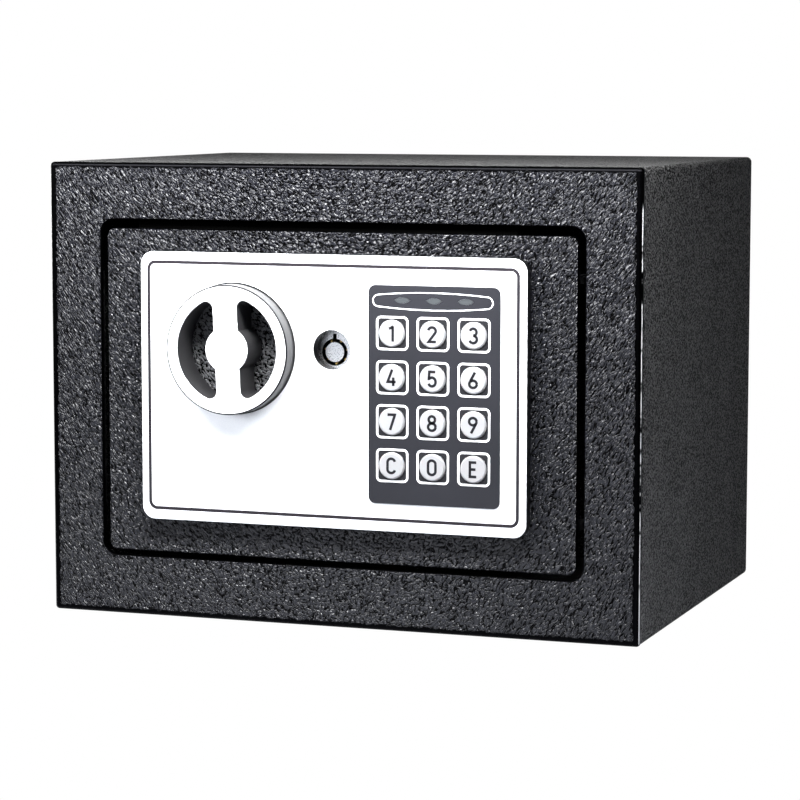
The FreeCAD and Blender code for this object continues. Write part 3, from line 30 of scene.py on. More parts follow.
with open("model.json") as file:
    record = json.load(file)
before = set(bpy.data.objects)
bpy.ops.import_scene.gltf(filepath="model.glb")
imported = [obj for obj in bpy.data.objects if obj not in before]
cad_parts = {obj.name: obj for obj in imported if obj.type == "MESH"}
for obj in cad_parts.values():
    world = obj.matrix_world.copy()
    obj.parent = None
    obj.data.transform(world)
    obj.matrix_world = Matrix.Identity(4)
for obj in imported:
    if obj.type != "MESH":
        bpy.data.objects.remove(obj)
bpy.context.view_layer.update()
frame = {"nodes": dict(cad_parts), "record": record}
cad = frame["nodes"]
MM = 0.001


def middle_of(node):
    low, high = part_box(node)
    return (low + high) / 2


# ---------------------------------------------------------------- shader helpers


class Shader:
    """A node material with one Principled surface, and short ways to add nodes to it."""

    def __init__(self, name, base, roughness, metallic=0.0, **fixed):
        self.material = bpy.data.materials.new(name)
        self.material.use_nodes = True
        self.tree = self.material.node_tree
        self.surface = self.tree.nodes["Principled BSDF"]
        self.set("Base Color", (*base, 1.0))
        self.set("Roughness", roughness)
        self.set("Metallic", metallic)
        for socket, value in fixed.items():
            self.set(socket.replace("_", " "), value)
        self.place = self.node("ShaderNodeTexCoord").outputs["Object"]

    def set(self, socket, value):
        self.surface.inputs[socket].default_value = value

    def node(self, kind, **settings):
        made = self.tree.nodes.new(kind)
        for name, value in settings.items():
            setattr(made, name, value)
        return made

    def feed(self, socket, value):
        """Links an output to a socket, or sets the socket to a plain value."""
        if isinstance(value, bpy.types.NodeSocket):
            self.tree.links.new(value, socket)
        else:
            socket.default_value = value

    def math(self, operation, first, second=0.0):
        made = self.node("ShaderNodeMath", operation=operation)
        self.feed(made.inputs[0], first)
        self.feed(made.inputs[1], second)
        return made.outputs[0]

    def times(self, first, *others):
        """The product of the values."""
        for other in others:
            first = self.math("MULTIPLY", first, other)
        return first

    def span(self, value, low, high, start=0.0, end=1.0):
        """The value carried smoothly from low..high to start..end."""
        made = self.node("ShaderNodeMapRange", interpolation_type="SMOOTHSTEP")
        for socket, number in zip(made.inputs[:5], (value, low, high, start, end)):
            self.feed(socket, number)
        return made.outputs[0]

    def noise(self, scale, detail=2.0, rough=0.5, place=None):
        made = self.node("ShaderNodeTexNoise")
        self.feed(made.inputs["Vector"], place or self.place)
        made.inputs["Scale"].default_value = scale
        made.inputs["Detail"].default_value = detail
        made.inputs["Roughness"].default_value = rough
        return made

    def stretched(self, x, y, z):
        """The object's coordinates stretched on each axis."""
        made = self.node("ShaderNodeVectorMath", operation="MULTIPLY")
        self.feed(made.inputs[0], self.place)
        made.inputs[1].default_value = (x, y, z)
        return made.outputs[0]

    def axis(self, name):
        """One of the object's coordinates."""
        made = self.node("ShaderNodeSeparateXYZ")
        self.feed(made.inputs[0], self.place)
        return made.outputs[name]

    def radius_from(self, node):
        """The distance from the middle line, along Y, of a CAD node."""
        middle = middle_of(node)
        across = self.math("SUBTRACT", self.axis("X"), middle.x)
        up = self.math("SUBTRACT", self.axis("Z"), middle.z)
        square = self.math("ADD", self.times(across, across), self.times(up, up))
        return self.math("SQRT", square)

    def blend(self, factor, first, second):
        """A colour between two colours."""
        made = self.node("ShaderNodeMix", data_type="RGBA")
        self.feed(made.inputs["Factor"], factor)
        for socket, colour in ((made.inputs[6], first), (made.inputs[7], second)):
            plain = isinstance(colour, tuple) and len(colour) == 3
            self.feed(socket, (*colour, 1.0) if plain else colour)
        return made.outputs[2]

    def colour(self, value):
        self.feed(self.surface.inputs["Base Color"], value)

    def rough(self, value):
        self.feed(self.surface.inputs["Roughness"], value)

    def metallic(self, value):
        """How metallic the surface is, which over a near-black colour makes it plain black."""
        self.feed(self.surface.inputs["Metallic"], value)

    def bump(self, height, distance, strength=1.0):
        made = self.node("ShaderNodeBump")
        made.inputs["Distance"].default_value = distance
        made.inputs["Strength"].default_value = strength
        self.feed(made.inputs["Height"], height)
        self.feed(self.surface.inputs["Normal"], made.outputs[0])


def wrinkle_height(shader, size):
    """The relief of a wrinkle coat: short ridges drawn out along sagging lines."""
    apart = shader.node("ShaderNodeSeparateXYZ")
    shader.feed(apart.inputs[0], shader.place)
    x, y, z = apart.outputs
    drawn = shader.node("ShaderNodeCombineXYZ")
    shader.feed(drawn.inputs[0], shader.times(x, 0.85))
    shader.feed(drawn.inputs[1], y)
    shader.feed(drawn.inputs[2], shader.math("SUBTRACT", z, shader.times(x, x, 5.5)))
    bend = shader.noise(0.4 / size, 1.0)
    shift = shader.node("ShaderNodeVectorMath", operation="MULTIPLY_ADD")
    shader.feed(shift.inputs[0], bend.outputs["Color"])
    shift.inputs[1].default_value = (1.3 * size,) * 3
    shader.feed(shift.inputs[2], drawn.outputs[0])
    field = shader.noise(0.8 / size, 1.6, 0.5, shift.outputs[0]).outputs["Fac"]
    crease = shader.span(shader.math("ABSOLUTE", shader.math("SUBTRACT", field, 0.5)), 0.0, 0.1)
    cells = shader.node("ShaderNodeTexVoronoi", feature="SMOOTH_F1")
    shader.feed(cells.inputs["Vector"], shift.outputs[0])
    cells.inputs["Scale"].default_value = 1.0 / size
    cells.inputs["Smoothness"].default_value = 0.35
    dome = shader.span(cells.outputs["Distance"], 0.2, 0.8, 1.0, 0.0)
    return shader.math("ADD", shader.times(dome, 0.5), shader.times(crease, 0.5))


WRINKLE = 1.2 * MM
WRINKLE_DEPTH = 0.9 * MM
RIM_SIDE, RIM_TOP, RIM_BOTTOM = 2.7 * MM, 2.1 * MM, 2.0 * MM


def smooth_rim(shader):
    """One on the frame's face and none on its rim, where the coat runs smooth and is painted dark
    as shade.
    """
    low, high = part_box("front_frame")
    stray = shader.noise(700, 2.0).outputs["Fac"]
    wander = shader.span(stray, 0.3, 0.7, -0.35 * MM, 0.35 * MM)
    x = shader.math("ADD", shader.math("ABSOLUTE", shader.axis("X")), wander)
    z = shader.math("ADD", shader.axis("Z"), wander)
    fade = 0.3 * MM
    side, top, bottom = high.x - RIM_SIDE, high.z - RIM_TOP, low.z + RIM_BOTTOM
    return shader.times(
        shader.span(x, side, side + fade, 1.0, 0.0),
        shader.span(z, top, top + fade, 1.0, 0.0),
        shader.span(z, bottom, bottom + fade),
        shader.span(shader.axis("Y"), low.y + 0.2 * MM, low.y + 0.4 * MM, 1.0, 0.0))


def painted_fold_highlight(shader):
    """One where a painted highlight runs along the frame's right-hand fold, in a broken line."""
    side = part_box("front_frame")[1].x
    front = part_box("front_frame")[0].y
    broken = shader.noise(160, 3.0).outputs["Fac"]
    line_top = 156 * MM
    return shader.times(
        shader.span(broken, 0.4, 0.5),
        shader.span(shader.axis("Z"), line_top - 2 * MM, line_top + 2 * MM, 1.0, 0.0),
        shader.span(shader.axis("X"), side - 0.45 * MM, side - 0.35 * MM),
        shader.span(shader.axis("Y"), front + 0.75 * MM, front + 0.9 * MM, 1.0, 0.0))


def wrinkle_coat(name, tone, shaded_rim=False):
    """Black wrinkle powder coat with painted shade in its valleys; on a folded rim it runs smooth,
    with painted shade and a painted highlight.
    """
    shader = Shader(name, tone, 0.34, IOR=1.4)
    height = wrinkle_height(shader, WRINKLE)
    patches = shader.noise(45, 3.0).outputs["Fac"]
    # Painted shade: the valleys of the relief get a near-black colour and, through the metallic
    # mask, no shine.
    peak = shader.span(height, 0.25, 0.6)
    base = shader.blend(peak, (0.001, 0.001, 0.0012), tone)
    painted_shade = shader.span(height, 0.2, 0.55, 0.95, 0.0)
    shader.rough(shader.math("ADD", shader.span(patches, 0.3, 0.7, 0.31, 0.37),
                             shader.times(peak, -0.04)))
    # On the rim, painted shade makes the coat near-black with no shine, apart from the painted
    # highlight on the right-hand fold.
    if shaded_rim:
        grain = smooth_rim(shader)
        fold_highlight = painted_fold_highlight(shader)
        rim_shade = shader.times(shader.math("SUBTRACT", 1.0, grain),
                              shader.math("SUBTRACT", 1.0, fold_highlight))
        painted_shade = shader.math("MAXIMUM", rim_shade, shader.times(painted_shade, grain))
        base = shader.blend(grain, (0.002, 0.002, 0.0023), base)
        # Painted highlight: a pale broken line along the right-hand fold.
        base = shader.blend(fold_highlight, base, (0.5, 0.5, 0.51))
        height = shader.times(height, grain)
    shader.metallic(painted_shade)
    shader.colour(base)
    shader.bump(height, WRINKLE_DEPTH)
    return shader.material


def grain_coat(name, light, dark, size, depth, roughness, pit_shade):
    """A fine even powder coat with dark specks, partly speckle and partly painted shade in the low
    points of its grain, which lose their shine by the given amount.
    """
    shader = Shader(name, light, roughness, Specular_IOR_Level=0.3)
    place = shader.stretched(1.0, 0.65, 1.0)
    fine = shader.noise(1 / size, 1.0, 0.5, place).outputs["Fac"]
    pits = shader.node("ShaderNodeTexVoronoi", feature="SMOOTH_F1")
    shader.feed(pits.inputs["Vector"], place)
    pits.inputs["Scale"].default_value = 0.8 / size
    height = shader.math("ADD", shader.times(fine, 0.7),
                         shader.times(pits.outputs["Distance"], 0.6))
    patches = shader.noise(30, 3.0).outputs["Fac"]
    # Partly speckle and partly painted shade: low points of the fine grain take the dark colour and
    # lose their shine by the given amount.
    speck_and_pit_shade = shader.span(fine, 0.44, 0.56)
    shader.metallic(shader.math("SUBTRACT", pit_shade, shader.times(speck_and_pit_shade, pit_shade)))
    shader.colour(shader.blend(speck_and_pit_shade, dark, light))
    shader.rough(shader.span(patches, 0.3, 0.7, roughness - 0.05, roughness + 0.06))
    shader.bump(height, depth)
    return shader.material


def metal(name, base, roughness, stretch=(1, 1, 1), tint=None):
    """A plated or turned metal with fine marks along one direction."""
    shader = Shader(name, base, roughness, metallic=1.0)
    marks = shader.noise(900, 3.0, 0.6, shader.stretched(*stretch)).outputs["Fac"]
    cloud = shader.noise(60, 2.0).outputs["Fac"]
    other = tint or tuple(0.82 * c for c in base)
    shader.colour(shader.blend(shader.span(cloud, 0.3, 0.7), base, other))
    shader.rough(shader.math("ADD", shader.span(marks, 0.3, 0.7, -0.05, 0.07), roughness))
    shader.bump(marks, 0.012 * MM)
    return shader.material


def moulded(name, base, roughness, grain=0.35, depth=0.03, **fixed):
    """Moulded plastic with a fine spark-eroded grain."""
    shader = Shader(name, base, roughness, **fixed)
    fine = shader.noise(1 / (grain * MM), 2.0).outputs["Fac"]
    cloud = shader.noise(35, 2.0).outputs["Fac"]
    darker = tuple(0.86 * c for c in base)
    shader.colour(shader.blend(shader.span(cloud, 0.3, 0.7), base, darker))
    shader.rough(shader.span(fine, 0.3, 0.7, roughness - 0.04, roughness + 0.05))
    shader.bump(fine, depth * MM)
    return shader.material


SILVER = (0.87, 0.88, 0.895)
FLAKE_METAL = 0.35


def silver_lacquer(name):
    """Silver lacquer with a fine flake, over the parts of a plastic moulding that show."""
    shader = Shader(name, SILVER, 0.36, metallic=FLAKE_METAL)
    flake = shader.noise(4200, 1.0).outputs["Fac"]
    cloud = shader.noise(18, 2.0).outputs["Fac"]
    tone = shader.blend(shader.span(cloud, 0.3, 0.7), SILVER, (0.83, 0.845, 0.87))
    shader.base = shader.blend(shader.span(flake, 0.35, 0.65, 0.0, 0.5), tone, (0.93, 0.935, 0.94))
    shader.colour(shader.base)
    shader.rough(shader.span(flake, 0.3, 0.7, 0.33, 0.41))
    shader.bump(flake, 0.006 * MM)
    return shader


def fascia_lacquer():
    """The fascia's lacquer, which stops where the tray's edge and holes turn inwards; there the
    dark plastic gets painted shade, its shine taken out.
    """
    shader = silver_lacquer("fascia_lacquer")
    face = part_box("fascia")[0].y
    # Partly the plastic's own dark colour and partly painted shade: the walls turn near-black with
    # no shine.
    dark_and_shaded_wall = shader.span(shader.axis("Y"), face + 0.25 * MM, face + 0.4 * MM)
    shader.colour(shader.blend(dark_and_shaded_wall, shader.base, (0.012, 0.012, 0.013)))
    shader.metallic(shader.span(dark_and_shaded_wall, 0.0, 1.0, FLAKE_METAL, 0.9))
    return shader.material


def knob_finish():
    """Silver lacquer on the knob's face, dark moulded plastic behind its edge, and painted shade as
    a thin dark line with no shine on the face's rounded edge.
    """
    shader = silver_lacquer("knob_finish")
    low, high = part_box("knob")
    face, edge = low.y, (high.x - low.x) / 2
    depth = shader.axis("Y")
    # Painted shade: a thin dark line with no shine round the face's rounded edge.
    shaded_rim = shader.times(
        shader.span(depth, face + 0.5 * MM, face + 0.7 * MM, 1.0, 0.0),
        shader.span(shader.radius_from("knob"), edge - 0.62 * MM, edge - 0.5 * MM))
    plastic_and_shaded_rim = shader.math("MAXIMUM", shaded_rim,
                         shader.span(depth, face + 0.25 * MM, face + 0.45 * MM))
    grain = shader.noise(2200, 2.0).outputs["Fac"]
    dark = shader.blend(grain, (0.014, 0.014, 0.015), (0.03, 0.03, 0.032))
    shader.colour(shader.blend(plastic_and_shaded_rim, shader.base, dark))
    shader.metallic(shader.math("MAXIMUM", shaded_rim, shader.span(plastic_and_shaded_rim, 0.0, 1.0, FLAKE_METAL, 0.0)))
    return shader.material


def lock_metal(name, node, lip, radius):
    """Bright plating on a lock part's face, and painted shade down its keyway."""
    shader = Shader(name, (0.93, 0.93, 0.935), 0.3, metallic=1.0)
    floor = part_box(node)[0].y + lip
    # Painted shade: near-black inside the given radius and deeper than the lip.
    keyway_shade = shader.times(
        shader.span(shader.radius_from("lock_plug"), radius, radius + 0.1 * MM, 1.0, 0.0),
        shader.span(shader.axis("Y"), floor, floor + 0.2 * MM))
    turning = shader.noise(2600, 2.0).outputs["Fac"]
    bright = shader.blend(turning, (0.9, 0.9, 0.905), (0.95, 0.95, 0.955))
    shader.colour(shader.blend(keyway_shade, bright, (0.004, 0.004, 0.004)))
    shader.rough(shader.span(turning, 0.3, 0.7, 0.26, 0.34))
    shader.bump(turning, 0.01 * MM)
    return shader.material


def felt():
    """Needled felt."""
    shader = Shader("felt", (0.05, 0.05, 0.055), 0.95, Sheen_Weight=0.15, Sheen_Roughness=0.6)
    hairs = shader.noise(1300, 4.0, 0.7, shader.stretched(1.0, 0.35, 1.0)).outputs["Fac"]
    tufts = shader.noise(260, 4.0, 0.65).outputs["Fac"]
    mixed = shader.math("ADD", shader.times(hairs, 0.5), shader.times(tufts, 0.5))
    shader.colour(shader.blend(shader.span(mixed, 0.35, 0.65), (0.028, 0.028, 0.031),
                               (0.085, 0.085, 0.09)))
    shader.bump(mixed, 0.6 * MM)
    return shader.material


def circuit_board():
    """A solder-masked board with faint tracks."""
    shader = Shader("circuit_board", (0.01, 0.09, 0.035), 0.35)
    tracks = shader.node("ShaderNodeTexBrick")
    shader.feed(tracks.inputs["Vector"], shader.stretched(1, 0, 1))
    tracks.inputs["Scale"].default_value = 260
    tracks.inputs["Mortar Size"].default_value = 0.03
    tracks.inputs["Color1"].default_value = (0.008, 0.075, 0.03, 1)
    tracks.inputs["Color2"].default_value = (0.01, 0.1, 0.04, 1)
    tracks.inputs["Mortar"].default_value = (0.03, 0.2, 0.08, 1)
    shader.colour(tracks.outputs["Color"])
    shader.bump(tracks.outputs["Fac"], 0.03 * MM)
    return shader.material


def copper_winding():
    """Enamelled wire wound in turns along Z, with painted shade in the grooves between the turns.
    """
    shader = Shader("copper_winding", (0.35, 0.09, 0.03), 0.35, metallic=0.6)
    turns = shader.node("ShaderNodeTexWave", bands_direction="Z")
    shader.feed(turns.inputs["Vector"], shader.place)
    turns.inputs["Scale"].default_value = 900
    turns.inputs["Distortion"].default_value = 0.6
    # Painted shade: the grooves between the turns are darker.
    shader.colour(shader.blend(turns.outputs["Fac"], (0.12, 0.03, 0.01), (0.5, 0.17, 0.06)))
    shader.bump(turns.outputs["Fac"], 0.1 * MM)
    return shader.material


def print_ink(name, colour, **fixed):
    """Screen-printed ink with slightly uneven cover."""
    shader = Shader(name, colour, 0.42, **fixed)
    cover = shader.noise(1500, 3.0).outputs["Fac"]
    thin = tuple(0.9 * c for c in colour)
    shader.colour(shader.blend(shader.span(cover, 0.3, 0.7), colour, thin))
    shader.rough(shader.span(cover, 0.3, 0.7, 0.38, 0.48))
    shader.bump(cover, 0.008 * MM)
    return shader.material


def key_plastic():
    """Pale matt key plastic with a faint grain."""
    shader = Shader("key_plastic", (0.22, 0.222, 0.23), 0.5, Subsurface_Weight=0.05,
                    Subsurface_Scale=0.001)
    fine = shader.noise(3200, 2.0).outputs["Fac"]
    shader.colour(shader.blend(fine, (0.205, 0.207, 0.215), (0.235, 0.237, 0.245)))
    shader.rough(shader.span(fine, 0.3, 0.7, 0.46, 0.54))
    shader.bump(fine, 0.01 * MM)
    return shader.material


MATERIALS = {
    # The frame's coat, with painted shade in its valleys and on its rim, and a painted highlight on
    # its fold.
    "front_coat": wrinkle_coat("front_coat", (0.006, 0.0063, 0.009), shaded_rim=True),
    # Painted light: a much lighter copy of the black wrinkle coat, for the lock plate that shows in
    # the shaded wells behind the knob.
    "plate_coat_painted_light": wrinkle_coat("plate_coat_painted_light", (0.13, 0.132, 0.14)),
    # The body's coat has painted shade in the pits of its grain.
    "body_coat": grain_coat("body_coat", (0.085, 0.085, 0.085), (0.005, 0.005, 0.005),
                            0.72 * MM, 0.8 * MM, 0.6, 0.85),
    "inner_coat": grain_coat("inner_coat", (0.022, 0.022, 0.023), (0.014, 0.014, 0.015),
                             0.9 * MM, 0.06 * MM, 0.45, 0.0),
    "felt": felt(),
    "zinc": metal("zinc", (0.62, 0.62, 0.6), 0.34, (1, 1, 0.12), (0.55, 0.56, 0.52)),
    "chrome": metal("chrome", (0.8, 0.8, 0.81), 0.14, (0.15, 1, 1)),
    "plug": lock_metal("plug_chrome", "lock_plug", 0.15 * MM, 9 * MM),
    "barrel": lock_metal("barrel_chrome", "lock_barrel", 0.25 * MM, 7.2 * MM),
    # Painted shade: the door stops, which show in the door gap, are plain black with no shine.
    "gap_shade": moulded("painted_gap_shade", (0.0015, 0.0015, 0.0015), 0.9, 0.4, 0.1, Metallic=1.0),
    "brass": metal("brass", (0.66, 0.45, 0.16), 0.3, (1, 0.2, 1)),
    "fascia": fascia_lacquer(),
    "knob": knob_finish(),
    "panel": moulded("panel_film", (0.0125, 0.013, 0.0165), 0.5, 0.6, 0.012,
                     Specular_IOR_Level=0.15),
    "keys": key_plastic(),
    "lens": moulded("smoked_lens", (0.03, 0.034, 0.037), 0.35, 1.2, 0.004, Coat_Weight=0.5),
    "rubber": moulded("silicone_rubber", (0.3, 0.3, 0.3), 0.6, 0.8, 0.02),
    "board": circuit_board(),
    "winding": copper_winding(),
    "black_plastic": moulded("black_plastic", (0.022, 0.022, 0.023), 0.5, 0.5, 0.06),
    "red_plastic": moulded("red_plastic", (0.5, 0.02, 0.015), 0.3, 0.6, 0.02),
    "white_ink": print_ink("white_ink", (0.86, 0.86, 0.87)),
    "dark_ink": print_ink("dark_ink", (0.008, 0.008, 0.01), Specular_IOR_Level=0.1),
    "line_ink": print_ink("line_ink", (0.012, 0.01, 0.013), Specular_IOR_Level=0.2),
    "pit_ink": print_ink("pit_ink", (0.012, 0.012, 0.014), Specular_IOR_Level=0.15),
}

SLOT_LOOKS = {
    "front_paint": "front_coat",
    "body_paint": "body_coat",
    "inner_paint": "inner_coat",
    "felt": "felt",
    "zinc_steel": "zinc",
    "chrome": "chrome",
    "brass": "brass",
    "fascia_silver": "fascia",
    "knob_silver": "knob",
    "panel_film": "panel",
    "key_caps": "keys",
    "lens": "lens",
    "mat_rubber": "rubber",
    "circuit": "board",
    "coil_wire": "winding",
    "cover_plastic": "black_plastic",
    "reset_red": "red_plastic",
    "cell_wrap": "black_plastic",
}
NODE_LOOKS = {
    "lock_plate": "plate_coat_painted_light",
    # The door stops carry painted shade, so the door gap reads black.
    "door_stop_upper": "gap_shade",
    "door_stop_lower": "gap_shade",
    "lock_plug": "plug",
    "lock_barrel": "barrel",
}


def dress_nodes():
    """Gives every CAD node its own look, or the look of its material slot."""
    slots = {part["node"]: part["material_slot"] for part in frame["record"]["subparts"]}
    for name, thing in cad.items():
        look = NODE_LOOKS.get(name) or SLOT_LOOKS[slots[name]]
        thing.data.materials.clear()
        thing.data.materials.append(MATERIALS[look])


dress_nodes()


# ---------------------------------------------------------------- mesh helpers


def piece(name, mesh, look, body):
    """An object made from a mesh, with its material, riding on a body."""
    thing = bpy.data.objects.new(name, mesh)
    bpy.context.scene.collection.objects.link(thing)
    mesh.materials.clear()
    mesh.materials.append(MATERIALS[look])
    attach(thing, body)
    return thing


def finish_mesh(name, shape):
    bmesh.ops.recalc_face_normals(shape, faces=shape.faces)
    mesh = bpy.data.meshes.new(name)
    shape.to_mesh(mesh)
    shape.free()
    return mesh


def band(name, outer, inner, front, thickness):
    """A flat band between two loops of (x, z) points, standing in front of a surface."""
    shape = bmesh.new()
    rings = []
    for depth in (front, front + thickness):
        for loop in (outer, inner):
            rings.append([shape.verts.new((x, depth, z)) for x, z in loop])
    front_outer, front_inner, back_outer, back_inner = rings
    count = len(outer)
    for n in range(count):
        m = (n + 1) % count
        shape.faces.new((front_outer[n], front_outer[m], front_inner[m], front_inner[n]))
        shape.faces.new((back_outer[n], back_inner[n], back_inner[m], back_outer[m]))
        shape.faces.new((front_outer[n], back_outer[n], back_outer[m], front_outer[m]))
        shape.faces.new((front_inner[n], front_inner[m], back_inner[m], back_inner[n]))
    return finish_mesh(name, shape)


def rounded_loop(centre, width, height, radius, steps=10):
    """Points round a rectangle with round corners."""
    loop = []
    corners = [(1, 1, 0), (-1, 1, 90), (-1, -1, 180), (1, -1, 270)]
    for across, up, start in corners:
        middle_x = centre[0] + across * (width / 2 - radius)
        middle_z = centre[1] + up * (height / 2 - radius)
        for step in range(steps + 1):
            turn = math.radians(start + 90 * step / steps)
            loop.append((middle_x + radius * math.cos(turn), middle_z + radius * math.sin(turn)))
    return loop


def circle_facing(loop, centre, radius):
    """The points of a circle that face the points of a loop."""
    points = []
    for x, z in loop:
        turn = math.atan2(z - centre[1], x - centre[0])
        points.append((centre[0] + radius * math.cos(turn), centre[1] + radius * math.sin(turn)))
    return points


# ---------------------------------------------------------------- fascia print

INK = 0.03 * MM


def fascia_line():
    """The thin printed line inside the fascia's edge."""
    low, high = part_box("fascia")
    middle = middle_of("fascia")
    lift, line, radius = 0.2 * MM, 1.2 * MM, 3.3 * MM
    inset_x, inset_z = 2.7 * MM, 3.5 * MM
    centre = (middle.x, middle.z + lift)
    width, height = high.x - low.x - 2 * inset_x, high.z - low.z - 2 * inset_z
    outer = rounded_loop(centre, width, height, radius)
    inner = rounded_loop(centre, width - 2 * line, height - 2 * line, radius - line)
    mesh = band("fascia_line", outer, inner, low.y - INK, INK)
    piece("fascia_line", mesh, "line_ink", "door")


KEYS = {f"key_{n}": str(n) for n in range(10)}
KEYS["key_clear"] = "C"
KEYS["key_enter"] = "E"


def key_frames():
    """The dark printed square round each key and its white outline."""
    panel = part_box("keypad_panel")[0].y
    side, line, radius, cap_gap = 12.3 * MM, 0.75 * MM, 1.9 * MM, 5.3 * MM
    for name in KEYS:
        spot = middle_of(name)
        centre = (spot.x, spot.z)
        outer = rounded_loop(centre, side, side, radius)
        inner = rounded_loop(centre, side - 2 * line, side - 2 * line, radius - line)
        mesh = band(name + "_outline", outer, inner, panel - 2 * INK, 2 * INK)
        piece(name + "_outline", mesh, "white_ink", "door")
        hole = circle_facing(inner, centre, cap_gap)
        mesh = band(name + "_field", inner, hole, panel - INK, INK)
        piece(name + "_field", mesh, "pit_ink", "door")


def light_loop(centre, half_length, end_half, middle_half, steps=14):
    """Points round the lights' window: round ends, and long sides that bulge in the middle."""
    loop = []
    straight = half_length - end_half
    for side, start in ((1, -90), (-1, 90)):
        for step in range(steps + 1):
            turn = math.radians(start + 180 * step / steps)
            loop.append((centre[0] + side * straight + end_half * math.cos(turn),
                         centre[1] + end_half * math.sin(turn)))
        for step in range(1, steps):
            along = side * straight * (1 - 2 * step / steps)
            rise = (middle_half - end_half) * (1 - (along / straight) ** 2)
            loop.append((centre[0] + along, centre[1] + side * (end_half + rise)))
    return loop


def lights_outline():
    """The white outline round the three indicator lights."""
    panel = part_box("keypad_panel")[0].y
    spot = middle_of("light_lenses")
    centre = (middle_of("keypad_panel").x - 0.5 * MM, spot.z - 0.2 * MM)
    line, half_length, end_half, middle_half = 0.42 * MM, 22.9 * MM, 2.35 * MM, 3.35 * MM
    outer = light_loop(centre, half_length, end_half, middle_half)
    inner = light_loop(centre, half_length - line, end_half - line, middle_half - line)
    mesh = band("lights_outline", outer, inner, panel - 2 * INK, 2 * INK)
    piece("lights_outline", mesh, "white_ink", "door")


def arc(x, z, across, up, start, end, steps=12):
    """Points of an elliptic arc from a start angle to an end angle."""
    turns = (math.radians(start + (end - start) * n / steps) for n in range(steps + 1))
    return [(x + across * math.cos(a), z + up * math.sin(a)) for a in turns]


# Each glyph is drawn one unit tall as the middle lines of its strokes.
TOP, BOTTOM, MIDDLE = 0.94, 0.06, 0.26
GLYPHS = {
    "0": [arc(MIDDLE, 0.72, 0.2, 0.22, 0, 180) + arc(MIDDLE, 0.28, 0.2, 0.22, 180, 360)
          + [(MIDDLE + 0.2, 0.72)]],
    "1": [[(0.34, 0.0), (0.34, TOP)], [(0.36, TOP), (0.25, 0.84), (0.13, 0.79)]],
    "2": [arc(MIDDLE, 0.72, 0.2, 0.22, 170, -35) + [(0.08, BOTTOM), (0.47, BOTTOM)]],
    "3": [arc(MIDDLE, 0.725, 0.18, 0.215, 160, -90), arc(MIDDLE, 0.285, 0.2, 0.225, 90, -160)],
    "4": [[(0.31, 1.0), (0.07, 0.25), (0.5, 0.25)], [(0.37, 0.52), (0.37, 0.0)]],
    "5": [[(0.44, TOP), (0.12, TOP), (0.1, 0.52)]
          + arc(MIDDLE, 0.33, 0.2, 0.27, 135, -155)],
    "6": [[(0.36, 1.0), (0.1, 0.42)], arc(MIDDLE, 0.28, 0.2, 0.22, 0, 360, 20)],
    "7": [[(0.06, TOP), (0.46, TOP), (0.2, 0.0)]],
    "8": [arc(MIDDLE, 0.735, 0.17, 0.205, 0, 360, 20), arc(MIDDLE, 0.285, 0.2, 0.225, 0, 360, 20)],
    "9": [[(0.16, 0.0), (0.42, 0.58)], arc(MIDDLE, 0.72, 0.2, 0.22, 0, 360, 20)],
    "C": [arc(MIDDLE, 0.72, 0.2, 0.22, 10, 180) + arc(MIDDLE, 0.28, 0.2, 0.22, 180, 350)],
    "E": [[(0.45, TOP), (0.11, TOP), (0.11, BOTTOM), (0.45, BOTTOM)], [(0.11, 0.51), (0.41, 0.51)]],
}


def stroke_sides(path, half):
    """The points on both sides of a stroke, mitred where it bends."""
    points = [Vector(p) for p in path]
    left, right = [], []
    for n, point in enumerate(points):
        before = points[max(n - 1, 0)]
        after = points[min(n + 1, len(points) - 1)]
        came = (point - before).normalized() if n else (after - point).normalized()
        goes = (after - point).normalized() if n < len(points) - 1 else came
        across = Vector((-came.y - goes.y, came.x + goes.x)).normalized()
        reach = half / max(across.dot(Vector((-came.y, came.x))), 0.45)
        left.append(point + reach * across)
        right.append(point - reach * across)
    return left, right


def key_digits():
    """The dark digit or letter on each key's cap."""
    tall, half, wide, ink = 5.9 * MM, 0.082, 1.2, 0.02 * MM
    for name, text in KEYS.items():
        low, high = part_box(name)
        left_x = (low.x + high.x) / 2 - MIDDLE * wide * tall
        low_z = (low.z + high.z - tall) / 2
        shape = bmesh.new()
        for path in GLYPHS[text]:
            left, right = stroke_sides([(x * wide, z) for x, z in path], half)
            rows = []
            for side, depth in ((left, low.y - ink), (right, low.y - ink), (right, low.y),
                                (left, low.y)):
                rows.append([shape.verts.new((left_x + p.x * tall, depth, low_z + p.y * tall))
                             for p in side])
            for n in range(len(path) - 1):
                for one, two in zip(rows, rows[1:] + rows[:1]):
                    shape.faces.new((one[n], one[n + 1], two[n + 1], two[n]))
            for n in (0, len(path) - 1):
                shape.faces.new([row[n] for row in rows])
        piece(name + "_digit", finish_mesh(name + "_digit", shape), "dark_ink", name)


def lock_pins():
    """The seven sprung pins at the bottom of the tubular lock's keyway."""
    middle = middle_of("lock_plug")
    count, sides = 7, 14
    reach, radius, face = 4.3 * MM, 0.5 * MM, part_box("lock_plug")[0].y + 1.5 * MM
    shape = bmesh.new()
    for n in range(count):
        turn = math.radians(90 + 360 * (n + 0.5) / count)
        x, z = middle.x + reach * math.cos(turn), middle.z + reach * math.sin(turn)
        rings = []
        for depth, size in ((face, 0.6), (face + 0.2 * MM, 1.0), (face + 4.2 * MM, 1.0)):
            rings.append([shape.verts.new((x + radius * size * math.cos(a), depth,
                                           z + radius * size * math.sin(a)))
                          for a in (math.tau * k / sides for k in range(sides))])
        shape.faces.new(rings[0])
        shape.faces.new(rings[-1])
        for one, two in zip(rings, rings[1:]):
            for k in range(sides):
                m = (k + 1) % sides
                shape.faces.new((one[k], one[m], two[m], two[k]))
    piece("lock_pins", finish_mesh("lock_pins", shape), "brass", "lock_plug")


